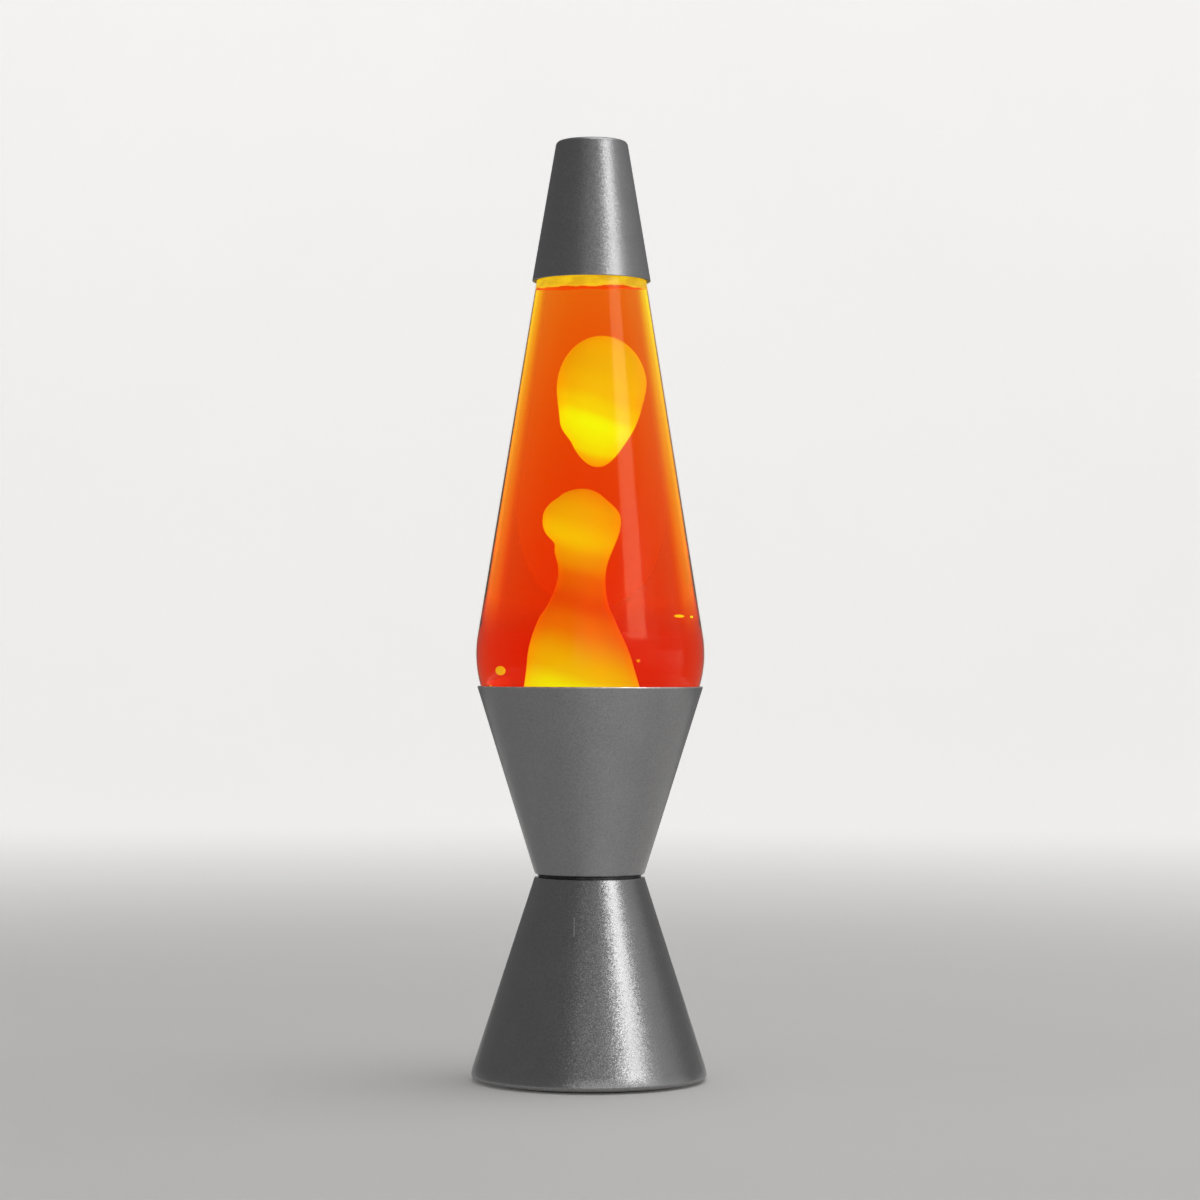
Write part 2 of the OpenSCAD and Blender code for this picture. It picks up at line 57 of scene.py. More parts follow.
# ---- Driving dimensions ----

base_low, base_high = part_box("base_cone")
bowl_low, bowl_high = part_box("bowl_cone")
glass_low, glass_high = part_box("globe_glass")
liquid_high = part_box("liquid")[1]
blob_low, blob_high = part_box("wax_blob")
column_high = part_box("wax_column")[1]
coil_low, coil_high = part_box("wax_coil")
crown_low, crown_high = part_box("crown_closure")
cap_low, cap_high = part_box("cap")
bulb_low, bulb_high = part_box("bulb_glass")
shell_low, shell_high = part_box("bulb_screw_shell")
filament_low, filament_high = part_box("filament")

SHEET = 0.8 * mm  # spun sheet of the base, the bowl and the cap
WAIST_RADIUS = 24 * mm
WAIST_HOLE = 18.2 * mm
GLASS = 2.2 * mm  # wall of the globe
ONE_POINT = 1e-7  # points nearer than this are one

# ---- Outlines ----


def arc(centre_r, centre_z, radius, start, end, steps=12):
    """Points on an arc in the (radius, height) plane, from start to end in degrees."""
    points = []
    for i in range(steps + 1):
        angle = radians(start + (end - start) * i / steps)
        points.append((centre_r + radius * cos(angle), centre_z + radius * sin(angle)))
    return points


def ease(a, b, t):
    """The value between a and b, with a level start and end."""
    return a + (b - a) * (1 - cos(pi * t)) / 2


def swell(r0, r1, z0, z1, steps=24):
    """Points of a smooth swell from radius r0 at z0 to r1 at z1, without the last point."""
    return [(ease(r0, r1, i / steps), z0 + (z1 - z0) * i / steps) for i in range(steps)]


def line_points(start, end, steps):
    """Points evenly along a straight line, without its ends."""
    return [tuple(a + (b - a) * i / steps for a, b in zip(start, end)) for i in range(1, steps)]


def curve_at(t, a, b, c, d):
    """The value at t, from 0 at b to 1 at c, on a smooth curve through four values."""
    square = 2 * a - 5 * b + 4 * c - d
    cube = 3 * b - a - 3 * c + d
    return b + ((c - a) * t + square * t ** 2 + cube * t ** 3) / 2


def through(points, steps=6):
    """A smooth line through points, without the last one."""
    line = []
    padded = [points[0], *points, points[-1]]
    for four in zip(padded, padded[1:], padded[2:], padded[3:]):
        for i in range(steps):
            line.append(tuple(curve_at(i / steps, *values) for values in zip(*four)))
    return line


def clamp(value):
    return min(1, max(0, value))


def bell(value, middle, width, power=2):
    """1 at the middle, falling off smoothly to both sides within about width."""
    return exp(-(((value - middle) / width) ** power))


def on_ring(radius, height, angle):
    """The point at an angle round the lamp's axis."""
    return (radius * cos(angle), radius * sin(angle), height)


# ---- Meshes ----


def new_object(name, data):
    """Puts a mesh, a light or a camera into the scene."""
    made = bpy.data.objects.new(name, data)
    bpy.context.scene.collection.objects.link(made)
    return made


def mesh_object(name, bm):
    """Turns a bmesh into an object of the scene."""
    mesh = bpy.data.meshes.new(name)
    bm.to_mesh(mesh)
    bm.free()
    return new_object(name, mesh)


def shade_smooth(mesh, angle):
    """Shades a mesh smooth, except over edges that bend by more than angle, in degrees."""
    mesh.polygons.foreach_set("use_smooth", [True] * len(mesh.polygons))
    mesh.set_sharp_from_angle(angle=radians(angle))


def add_piece(name, bm, body, smooth_angle=35):
    """Turns a bmesh into a smooth-shaded piece that rides on a CAD body."""
    bmesh.ops.recalc_face_normals(bm, faces=bm.faces)
    piece = mesh_object(name, bm)
    shade_smooth(piece.data, smooth_angle)
    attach(piece, body)
    return piece


def stand_in(piece, cad_node, slot, *materials):
    """Gives a piece its materials and hides the CAD node that it stands for."""
    for material in materials:
        piece.data.materials.append(material)
    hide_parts(cad_node)


def weld(bm):
    bmesh.ops.remove_doubles(bm, verts=bm.verts, dist=ONE_POINT)


def spin(bm, outline, closed=False, segments=192, place=on_ring):
    """Spins an outline of (radius, height) points round the axis. A closed outline makes a hollow ring.

    place(radius, height, angle) gives a point's place where the piece isn't quite round.
    """
    rings = []
    for radius, height in outline:
        count = segments if radius > ONE_POINT else 1
        angles = [2 * pi * i / segments for i in range(count)]
        rings.append([bm.verts.new(place(radius, height, a)) for a in angles])
    pairs = list(zip(rings, rings[1:]))
    if closed:
        pairs.append((rings[-1], rings[0]))
    for low, high in pairs:
        for i in range(segments):
            j = (i + 1) % segments
            corners = [low[i % len(low)], low[j % len(low)], high[j % len(high)], high[i % len(high)]]
            unique = list(dict.fromkeys(corners))
            if len(unique) > 2:
                bm.faces.new(unique)


def turned(name, body, outline, closed=False, segments=192, place=on_ring, smooth_angle=35):
    """A piece turned from one outline."""
    bm = bmesh.new()
    spin(bm, outline, closed, segments, place)
    return add_piece(name, bm, body, smooth_angle)


def sweep(bm, path, radius, loop=False, sides=6):
    """A tube of one radius along a path of points, with flat ends unless it is a loop."""
    rings = []
    count = len(path)
    normal = None
    for i, point in enumerate(path):
        ahead = path[(i + 1) % count] if loop or i + 1 < count else point
        behind = path[i - 1] if loop or i > 0 else point
        along = (ahead - behind).normalized()
        if normal is None:
            normal = along.orthogonal().normalized()
        normal = (normal - along * normal.dot(along)).normalized()
        side = along.cross(normal)
        ring = []
        for k in range(sides):
            angle = 2 * pi * k / sides
            offset = normal * cos(angle) + side * sin(angle)
            ring.append(bm.verts.new(point + offset * radius))
        rings.append(ring)
    pairs = list(zip(rings, rings[1:]))
    if loop:
        # the frame turns a little along the loop, so the last ring meets the first at its nearest corner
        first = rings[0]
        nearest = min(range(sides), key=lambda k: (first[k].co - rings[-1][0].co).length)
        pairs.append((rings[-1], first[nearest:] + first[:nearest]))
    else:
        bm.faces.new(rings[0])
        bm.faces.new(rings[-1])
    for low, high in pairs:
        for k in range(sides):
            m = (k + 1) % sides
            bm.faces.new((low[k], low[m], high[m], high[k]))


def cut(piece, *cutters):
    """Cuts away from a piece whatever lies in the cutters, which are used up."""
    for cutter in cutters:
        modifier = piece.modifiers.new("cut", "BOOLEAN")
        modifier.operation = "DIFFERENCE"
        modifier.solver = "EXACT"
        modifier.object = cutter
        bpy.context.view_layer.update()
        depsgraph = bpy.context.evaluated_depsgraph_get()
        mesh = bpy.data.meshes.new_from_object(piece.evaluated_get(depsgraph))
        piece.modifiers.clear()
        piece.data = mesh
        bpy.data.objects.remove(cutter)
    shade_smooth(piece.data, 30)


def drill(radius, depth, matrix, sides):
    """A round cutter that reaches depth both ways from the origin of matrix, along its Z axis."""
    bm = bmesh.new()
    bmesh.ops.create_cone(
        bm, cap_ends=True, segments=sides, radius1=radius, radius2=radius, depth=2 * depth, matrix=matrix
    )
    return mesh_object("cutter", bm)


# ---- Material nodes ----


def fill(socket, value):
    """Gives a socket a plain value, or links another node's output to it."""
    if isinstance(value, bpy.types.NodeSocket):
        socket.id_data.links.new(value, socket)
    else:
        socket.default_value = value


def feed(shader, **inputs):
    """Fills the shader's own sockets, whose names have _ for a space here."""
    for label, value in inputs.items():
        fill(shader.inputs[label.replace("_", " ")], value)


def new_material(name, **inputs):
    """A material with its Principled shader, whose sockets are fed."""
    material = bpy.data.materials.new(name)
    material.use_nodes = True
    shader = material.node_tree.nodes["Principled BSDF"]
    feed(shader, **inputs)
    return material, shader


def node(tree, kind, inputs=None, **settings):
    """A shader node with its settings and its inputs. Its kind is its type's name after ShaderNode."""
    made = tree.nodes.new("ShaderNode" + kind)
    for label, value in settings.items():
        setattr(made, label, value)
    for label, value in (inputs or {}).items():
        fill(made.inputs[label], value)
    return made


def place_of(material):
    """The point's place in the lamp's own frame, in metres."""
    return node(material.node_tree, "TexCoord").outputs["Object"]


def place_parts(material):
    """The same place as X, Y and Z."""
    return node(material.node_tree, "SeparateXYZ", {"Vector": place_of(material)}).outputs


def height_of(material):
    """The point's height above the table at rest."""
    return place_parts(material)["Z"]


def vector_maths(operation, a, b=(0, 0, 0)):
    """Works on the vector a, which is a socket, with b."""
    return node(a.id_data, "VectorMath", {0: a, 1: b}, operation=operation).outputs["Vector"]


def scaled(vector, scale):
    inputs = {0: vector, "Scale": scale}
    return node(vector.id_data, "VectorMath", inputs, operation="SCALE").outputs["Vector"]


def stretched(material, scale):
    """The point's place with each axis scaled, so that a texture is drawn out along one of them."""
    return vector_maths("MULTIPLY", place_of(material), scale)


def noise(material, size, detail=2, vector=None):
    """Smooth noise whose blotches are about size across, in metres."""
    inputs = {"Vector": vector or place_of(material), "Scale": 1 / size, "Detail": detail}
    return node(material.node_tree, "TexNoise", inputs).outputs["Fac"]


def cells(material, size):
    """Cells about size across, in metres, each with a colour of its own."""
    inputs = {"Vector": place_of(material), "Scale": 1 / size}
    return node(material.node_tree, "TexVoronoi", inputs).outputs["Color"]


def red_of(colour):
    return node(colour.id_data, "SeparateColor", {"Color": colour}).outputs["Red"]


def ramp(source, *stops, interpolation="LINEAR"):
    """A colour ramp of (position, colour) stops; a grey may be one number."""
    made = node(source.id_data, "ValToRGB", {"Fac": source})
    made.color_ramp.interpolation = interpolation
    elements = made.color_ramp.elements
    while len(elements) < len(stops):
        elements.new(1)
    for element, (position, colour) in zip(elements, stops):
        element.position = position
        shade = (colour,) * 3 if isinstance(colour, (int, float)) else colour
        element.color = (*shade, 1)
    return made.outputs["Color"]


def spread(source, low, high, to_low, to_high):
    """Maps source from low..high to to_low..to_high, without going past either end."""
    inputs = {"Value": source, "From Min": low, "From Max": high, "To Min": to_low, "To Max": to_high}
    return node(source.id_data, "MapRange", inputs).outputs["Result"]


def maths(operation, a, b=0.0):
    """Works on the number a, which is a socket, with b."""
    return node(a.id_data, "Math", {0: a, 1: b}, operation=operation).outputs["Value"]


def mix_colour(share, a, b):
    """Colour a with share of colour b."""
    made = node(share.id_data, "Mix", {"Factor": share}, data_type="RGBA")
    for socket, value in ((made.inputs[6], a), (made.inputs[7], b)):
        fill(socket, value if isinstance(value, bpy.types.NodeSocket) else (*value, 1))
    return made.outputs[2]


def bump(shader, height, depth, strength=1.0):
    """Bumps the surface by height, which runs from 0 to 1, times depth in metres."""
    made = node(shader.id_data, "Bump", {"Height": height, "Distance": depth, "Strength": strength})
    feed(shader, Normal=made.outputs["Normal"])


def paint(shader, source, *stops):
    """Colours the surface by a ramp of source."""
    feed(shader, Base_Color=ramp(source, *stops))


def roughen(shader, source, at_low, at_high):
    """Gives the surface a roughness that follows source, a noise that seldom leaves 0.3 to 0.7."""
    feed(shader, Roughness=spread(source, 0.3, 0.7, at_low, at_high))


# ---- Metal materials ----

FLAKE = 0.42 * mm  # a flake of the silver lacquer, as it catches the light
FLAKE_TILT = 0.12
SCRATCH_X = -6.6 * mm
SCRATCH_Z = (65.5 * mm, 73.5 * mm)
SCRATCH_WIDTH = 0.22 * mm


def flake_normal(material, flakes):
    """The surface normal, tipped another way at each flake."""
    tipped = scaled(vector_maths("SUBTRACT", flakes, (0.5, 0.5, 0.5)), FLAKE_TILT)
    normal = node(material.node_tree, "NewGeometry").outputs["Normal"]
    return vector_maths("NORMALIZE", vector_maths("ADD", tipped, normal))


def scratch_mask(material):
    """1 on the one fine upright scratch on the front of the base, 0 elsewhere."""
    parts = place_parts(material)
    wander = spread(noise(material, 3 * mm), 0, 1, -0.2 * mm, 0.2 * mm)
    across = maths("ABSOLUTE", maths("SUBTRACT", parts["X"], SCRATCH_X))
    near = maths("LESS_THAN", maths("ADD", across, wander), SCRATCH_WIDTH)
    above = maths("GREATER_THAN", parts["Z"], SCRATCH_Z[0])
    below = maths("LESS_THAN", parts["Z"], SCRATCH_Z[1])
    front = maths("LESS_THAN", parts["Y"], 0.0)
    return maths("MULTIPLY", maths("MULTIPLY", near, front), maths("MULTIPLY", above, below))


def silver_lacquer(satin=0.28, scratched=False, rim_highlight_above=None):
    """Sprayed silver lacquer: small metal flakes in a coat of the given satin.

    It may have a scratch, and above a height it may have a painted highlight of patchy bright metal colour
    along the bowl's rim.
    """
    material, shader = new_material("silver_lacquer", Metallic=1.0, Coat_Roughness=0.32, Coat_Weight=0.12)
    flakes = cells(material, FLAKE)
    cloud = noise(material, 14 * mm, 3)
    base = ramp(cloud, (0.3, (0.335, 0.332, 0.334)), (0.7, (0.352, 0.351, 0.354)))
    colour = scaled(base, spread(red_of(flakes), 0, 1, 0.90, 1.10))
    if scratched:
        colour = mix_colour(scratch_mask(material), colour, (0.75, 0.74, 0.72))
    if rim_highlight_above is not None:
        # painted highlight: the metal colour turns bright and patchy above the given height
        patchy = spread(noise(material, 3 * mm, 3), 0.35, 0.65, 0.55, 1)
        highlight_band = maths("GREATER_THAN", height_of(material), rim_highlight_above)
        colour = mix_colour(maths("MULTIPLY", highlight_band, patchy), colour, (0.95, 0.94, 0.92))
    feed(shader, Normal=flake_normal(material, flakes), Base_Color=colour)
    roughen(shader, noise(material, 22 * mm, 3), satin, satin + 0.02)
    return material


def zinc_steel():
    """Zinc-plated steel with soft crystal patches and fine rub marks."""
    material, shader = new_material("zinc_steel", Metallic=1.0)
    crystals = red_of(cells(material, 2.4 * mm))
    paint(shader, crystals, (0, (0.55, 0.56, 0.58)), (1, (0.68, 0.69, 0.70)))
    rubs = noise(material, 1.2 * mm, 4, vector=stretched(material, (1, 1, 0.15)))
    roughen(shader, rubs, 0.24, 0.42)
    bump(shader, rubs, 0.02 * mm, 0.5)
    return material


def shade_dark_steel():
    """Grey-black steel whose dark tone is painted shade for the shadowed gap at the waist, where the
    bracket shows between the cones. It has paler patches where it has been handled.
    """
    material, shader = new_material("shade_dark_steel", Metallic=1.0)
    patches = noise(material, 4 * mm, 4)
    paint(shader, patches, (0.35, 0.055), (0.7, 0.10))
    roughen(shader, patches, 0.55, 0.42)
    bump(shader, noise(material, 0.4 * mm, 3), 0.02 * mm, 0.5)
    return material


def brass():
    """Rolled brass with faint tarnish."""
    material, shader = new_material("brass", Metallic=1.0)
    tarnish = noise(material, 5 * mm, 5)
    colour = ramp(tarnish, (0.35, (0.62, 0.44, 0.17)), (0.65, (0.80, 0.60, 0.28)))
    feed(shader, Base_Color=colour)
    roughen(shader, tarnish, 0.40, 0.24)
    bump(shader, noise(material, 0.5 * mm, 3), 0.01 * mm, 0.4)
    return material


def nickel_shell():
    """Thin nickel-plated shell, dulled where it has rubbed in its socket."""
    material, shader = new_material("nickel_shell", Metallic=1.0)
    rubs = noise(material, 1 * mm, 4, vector=stretched(material, (0.2, 0.2, 1.5)))
    paint(shader, rubs, (0.3, 0.58), (0.7, 0.72))
    roughen(shader, rubs, 0.38, 0.2)
    return material


def tin_plate():
    """Bright tin plate of the crown closure, with the drawing marks of its skirt."""
    material, shader = new_material("tin_plate", Metallic=1.0)
    marks = noise(material, 0.8 * mm, 4, vector=stretched(material, (1, 1, 0.12)))
    paint(shader, marks, (0.3, (0.60, 0.60, 0.59)), (0.7, (0.74, 0.74, 0.73)))
    roughen(shader, marks, 0.36, 0.22)
    bump(shader, marks, 0.02 * mm, 0.4)
    return material


# ---- Plastic, rubber and china materials ----


def black_plastic():
    """Moulded black plastic with a fine spark-eroded grain."""
    material, shader = new_material("black_plastic")
    grain = noise(material, 0.5 * mm, 4)
    paint(shader, noise(material, 9 * mm, 3), (0.3, 0.014), (0.7, 0.024))
    roughen(shader, grain, 0.42, 0.58)
    bump(shader, grain, 0.05 * mm, 0.6)
    return material


def black_rubber():
    """Soft black rubber with a dusty bloom."""
    material, shader = new_material("black_rubber", Sheen_Weight=0.15)
    bloom = noise(material, 4 * mm, 5)
    paint(shader, bloom, (0.35, 0.018), (0.7, 0.034))
    roughen(shader, bloom, 0.62, 0.78)
    bump(shader, noise(material, 0.35 * mm, 3), 0.04 * mm, 0.5)
    return material


def porcelain():
    """Glazed white china, wavy under its gloss, with tiny specks."""
    material, shader = new_material("porcelain", Coat_Weight=0.6, Coat_Roughness=0.06)
    body = ramp(noise(material, 8 * mm, 2), (0.3, (0.74, 0.71, 0.64)), (0.7, (0.82, 0.80, 0.74)))
    specks = spread(noise(material, 0.7 * mm, 1), 0.74, 0.78, 0, 0.6)
    feed(shader, Base_Color=mix_colour(specks, body, (0.30, 0.26, 0.2)))
    roughen(shader, noise(material, 3 * mm), 0.16, 0.28)
    bump(shader, noise(material, 3.5 * mm, 2), 0.12 * mm, 0.4)
    return material


def liner_plastic():
    """Milky soft plastic of the closure's liner."""
    material, shader = new_material("liner_plastic", Subsurface_Weight=0.2, Subsurface_Scale=0.002)
    cloud = noise(material, 3 * mm, 3)
    paint(shader, cloud, (0.3, (0.72, 0.71, 0.66)), (0.7, (0.82, 0.81, 0.77)))
    roughen(shader, cloud, 0.4, 0.52)
    return material


# ---- Glass, liquid and wax materials ----


def thin_glass(name, gloss_share, most, tint, edge_colour):
    """A glass skin that bends no light by itself.

    It mirrors gloss_share of the light straight on, and the share most at a glancing angle. What glances
    off takes edge_colour, from the lit liquid that the glass carries.
    """
    material = bpy.data.materials.new(name)
    material.use_nodes = True
    tree = material.node_tree
    tree.nodes.remove(tree.nodes["Principled BSDF"])
    waves = noise(material, 16 * mm, 2, vector=stretched(material, (1, 1, 0.35)))
    ripple = node(tree, "Bump", {"Height": waves, "Distance": 0.06 * mm, "Strength": 0.5}).outputs["Normal"]
    slant = node(tree, "LayerWeight", {"Blend": 0.5, "Normal": ripple}).outputs["Facing"]
    clear = node(tree, "BsdfTransparent", {"Color": (*tint, 1)})
    colour = mix_colour(spread(slant, 0.3, 0.6, 0, 1), (1, 1, 1), edge_colour)
    gloss = node(tree, "BsdfGlossy", {"Color": colour, "Roughness": 0.12, "Normal": ripple})
    share = spread(maths("POWER", slant, 3.0), 0, 1, gloss_share, most)
    mixed = node(tree, "MixShader", {"Fac": share, 1: clear.outputs["BSDF"], 2: gloss.outputs["BSDF"]})
    fill(tree.nodes["Material Output"].inputs["Surface"], mixed.outputs["Shader"])
    return material


# Light lost for each metre of liquid: almost none of the red, most of the blue.
LIQUID_LOSS = (0.5, 38.0, 120.0)
LIQUID_INDEX = 1.34
GLOW = (1.0, 0.58, 0.015)  # the lamp's light after a little of the liquid


def liquid_material():
    """Clear orange liquid. Its colour comes only from how far the light runs through it."""
    material, shader = new_material("tinted_liquid", Transmission_Weight=1.0, Roughness=0.0)
    # the glass in front of it has the white gloss, so its own is tinted
    feed(shader, IOR=LIQUID_INDEX, Base_Color=(1, 1, 1, 1), Specular_Tint=(0.80, 0.34, 0.01, 1))
    density = 1.05 * max(LIQUID_LOSS)
    colour = [1 - loss / density for loss in LIQUID_LOSS]
    volume = node(material.node_tree, "VolumeAbsorption", {"Color": (*colour, 1), "Density": density})
    fill(material.node_tree.nodes["Material Output"].inputs["Volume"], volume.outputs["Volume"])
    return material


def painted_surface_glow(name, low_colour, high_colour):
    """Painted yellow glow on the liquid's top. It stands in for the lit liquid and wax that the surface
    mirrors from below, and it is streaky.
    """
    material, shader = new_material(name, Roughness=0.3, Specular_IOR_Level=0.15, Emission_Strength=1.0)
    streaks = noise(material, 7 * mm, 3, vector=stretched(material, (1, 1, 2.5)))
    glow = ramp(streaks, (0.38, low_colour), (0.62, high_colour))
    feed(shader, Base_Color=(0.30, 0.17, 0.005, 1), Emission_Color=glow)
    bump(shader, streaks, 0.3 * mm, 0.5)
    return material


def wax(name, lean, *stops):
    """Molten wax lit from below. Its glow has (height in mm, colour) stops, which lean lifts on the left.

    The liquid in front of the wax takes out most of the green, so the glow holds more of it than is seen.
    """
    material, shader = new_material(name, Roughness=0.32, Subsurface_Weight=0.35, Subsurface_Scale=0.006)
    feed(shader, Subsurface_Radius=(1.0, 0.5, 0.12), Base_Color=(0.38, 0.22, 0.02, 1))
    drift = spread(noise(material, 17 * mm, 2), 0, 1, -2.5 * mm, 2.5 * mm)
    level = maths("ADD", height_of(material), drift)
    level = maths("ADD", level, maths("MULTIPLY", place_parts(material)["X"], lean))
    low, high = stops[0][0], stops[-1][0]
    share = spread(level, low * mm, high * mm, 0, 1)
    glow = [((height - low) / (high - low), colour) for height, colour in stops]
    feed(shader, Emission_Color=ramp(share, *glow, interpolation="EASE"), Emission_Strength=1.0)
    return material


def bulb_glass():
    """Thin clear glass of the lamp bulb, with a trace of waviness."""
    return thin_glass("bulb_glass", 0.04, 0.9, (0.97, 0.97, 0.95), (1, 1, 1))


def stem_glass():
    """Solid glass of the bulb's stem."""
    material, shader = new_material("stem_glass", Transmission_Weight=1.0, IOR=1.5)
    feed(shader, Base_Color=(0.93, 0.95, 0.92, 1))
    seeds = noise(material, 1.6 * mm, 3)
    roughen(shader, seeds, 0.02, 0.12)
    bump(shader, seeds, 0.05 * mm, 0.4)
    return material


def glowing_tungsten():
    """Glowing wire, a little cooler where it meets its leads."""
    material, shader = new_material("tungsten", Metallic=1.0, Roughness=0.5)
    heat = spread(height_of(material), filament_low.z, filament_high.z, 0, 1)
    colour = ramp(heat, (0.0, (1.0, 0.35, 0.08)), (0.35, (1.0, 0.62, 0.25)), (1.0, (1.0, 0.72, 0.36)))
    feed(shader, Emission_Color=colour, Emission_Strength=14.0)
    return material


# ---- Metal cones ----

BASE_SLOPE = 0.3238  # how far the base's wall leans out for each metre down
RIM_ROLL = 1.8 * mm
SKIRT_BEND = 30 * mm
FOLD_IN = 2.5 * mm  # from the rim's outside to the sheet folded up behind it
BASE_LEDGE = 46 * mm
LEDGE_RISE = 2.1 * mm  # from the rim's underside to the ledge
RIM_HIGHLIGHT_HEIGHT = 0.55 * mm  # height of the painted highlight along the bowl's rim
SCREW_RING = 20.4 * mm
SCREW_HOLE = 1.4 * mm
SCREW_ANGLES = (90, 210, 330)


def base_outline():
    """Rolled rim, bent skirt, straight wall, flange at the waist, and back down inside."""
    lean = degrees(atan(BASE_SLOPE))
    wall = SHEET / cos(radians(lean))
    roll_z = base_low.z + RIM_ROLL
    roll_end = 10
    turn = radians(roll_end)
    bend_r = base_high.x - RIM_ROLL + (RIM_ROLL - SKIRT_BEND) * cos(turn)
    bend_z = roll_z + (RIM_ROLL - SKIRT_BEND) * sin(turn)
    bend = arc(bend_r, bend_z, SKIRT_BEND, roll_end, lean, 24)
    top_r, top_z = bend[-1]
    fold_r = base_high.x - FOLD_IN
    ledge_z = base_low.z + LEDGE_RISE
    top = base_high.z

    def wall_r(z):
        return top_r - BASE_SLOPE * (z - top_z)

    shoulder = 0.6 * mm
    return [
        (fold_r, base_low.z + 0.4 * mm),
        (fold_r + 0.4 * mm, base_low.z),
        *arc(base_high.x - RIM_ROLL, roll_z, RIM_ROLL, -90, roll_end, 16)[:-1],
        *bend,
        *line_points(bend[-1], (wall_r(top - shoulder), top - shoulder), 12),
        *arc(wall_r(top - shoulder) - shoulder, top - shoulder, shoulder, lean, 90, 8),
        (WAIST_HOLE, top),
        (WAIST_HOLE, top - SHEET),
        (wall_r(top - SHEET) - wall, top - SHEET),
        (top_r - wall, top_z),
        (fold_r, ledge_z + SHEET + 0.6 * mm),
        (fold_r - 0.6 * mm, ledge_z + SHEET),
        (BASE_LEDGE, ledge_z + SHEET),
        (BASE_LEDGE, ledge_z),
        (fold_r, ledge_z),
    ]


def waist_drills(height):
    """Cutters for the three screws of the waist."""
    cutters = []
    for angle in SCREW_ANGLES:
        place = Matrix.Translation(on_ring(SCREW_RING, height, radians(angle)))
        cutters.append(drill(SCREW_HOLE, 3 * mm, place, 32))
    return cutters


def inlet_drill():
    """Cutter for the cord's inlet, square to the back wall of the base."""
    mount = next(m for m in frame["record"]["mounts"] if m["name"] == "cord_inlet")
    axis = Vector(mount["axis"]).normalized()
    turn = Vector((0, 0, 1)).rotation_difference(axis).to_matrix().to_4x4()
    return drill(5.6 * mm, 8 * mm, Matrix.Translation(Vector(mount["pos_m"])) @ turn, 64)


def build_base():
    cone = turned("base_cone_shell", "base", base_outline(), closed=True, segments=256)
    cut(cone, *waist_drills(base_high.z), inlet_drill())
    stand_in(cone, "base_cone", "silver_lacquer", silver_lacquer(scratched=True))


def bowl_outline():
    """Flange, rounded corner, straight wall, rounded rim, and back down inside."""
    slope = (bowl_high.x - WAIST_RADIUS) / (bowl_high.z - bowl_low.z)
    lean = degrees(atan(slope))
    wall = SHEET / cos(radians(lean))
    corner = 1.8 * mm
    corner_z = bowl_low.z + corner

    def wall_r(z):
        return bowl_high.x - slope * (bowl_high.z - z)

    corner_r = wall_r(corner_z) - corner / cos(radians(lean))
    rim = SHEET / 2
    corner_arc = arc(corner_r, corner_z, corner, -90, -lean, 12)
    rim_arc = arc(bowl_high.x - rim, bowl_high.z - rim, rim, -lean, 180, 12)
    return [
        (WAIST_HOLE, bowl_low.z),
        *corner_arc,
        *line_points(corner_arc[-1], rim_arc[0], 12),
        *rim_arc,
        (wall_r(bowl_high.z - 2 * mm) - wall, bowl_high.z - 2 * mm),
        (wall_r(corner_z) - wall, corner_z),
        (corner_r, bowl_low.z + SHEET),
        (WAIST_HOLE, bowl_low.z + SHEET),
    ]


def build_bowl():
    cone = turned("bowl_cone_shell", "base", bowl_outline(), closed=True, segments=256)
    cut(cone, *waist_drills(bowl_low.z))
    stand_in(cone, "bowl_cone", "silver_lacquer", silver_lacquer(rim_highlight_above=bowl_high.z - RIM_HIGHLIGHT_HEIGHT))


CAP_TOP_RADIUS = 15.65 * mm
CAP_EDGE = 2.2 * mm
CAP_SATIN = 0.36


def cap_outline():
    """Loose cone: thin rim, straight wall, rounded edge and flat top, then the same inside."""
    height = cap_high.z - cap_low.z
    slope = (cap_high.x - CAP_TOP_RADIUS) / height
    lean = degrees(atan(slope))
    wall = SHEET / cos(radians(lean))

    def wall_r(z):
        return cap_high.x - slope * (z - cap_low.z)

    edge_z = cap_high.z - CAP_EDGE
    edge_r = wall_r(edge_z) - CAP_EDGE / cos(radians(lean))
    outer = arc(edge_r, edge_z, CAP_EDGE, lean, 90, 16)
    inner = arc(edge_r, edge_z, CAP_EDGE - SHEET, 90, lean, 10)
    rim = 0.2 * mm
    low_r, low_z = wall_r(cap_low.z + rim), cap_low.z + rim
    return [
        (low_r - wall + 0.15 * mm, cap_low.z),
        (low_r - 0.15 * mm, cap_low.z),
        (low_r, low_z),
        *line_points((low_r, low_z), outer[0], 8),
        *outer,
        (0, cap_high.z),
        (0, cap_high.z - SHEET),
        *inner,
        (low_r - wall, low_z),
    ]


def lit_lacquer():
    """The lacquer inside the cap, which the globe lights up near the rim."""
    material = silver_lacquer(CAP_SATIN)
    material.name = "silver_lacquer_lit"
    share = spread(height_of(material), cap_low.z, cap_low.z + 12 * mm, 0, 1)
    glow = ramp(share, (0, (0.95, 0.52, 0.01)), (1, (0, 0, 0)), interpolation="EASE")
    feed(material.node_tree.nodes["Principled BSDF"], Emission_Color=glow, Emission_Strength=0.9)
    return material


def build_cap():
    outline = cap_outline()
    cone = turned("cap_shell", "cap", outline + [outline[0]], segments=224)
    bm = bmesh.new()
    bm.from_mesh(cone.data)
    weld(bm)
    bm.to_mesh(cone.data)
    bm.free()
    for polygon in cone.data.polygons:
        centre = polygon.center
        inward = polygon.normal.x * centre.x + polygon.normal.y * centre.y < 0
        if inward and centre.z < cap_high.z - CAP_EDGE:
            polygon.material_index = 1
    stand_in(cone, "cap", "silver_lacquer", silver_lacquer(CAP_SATIN), lit_lacquer())


# ---- Globe ----

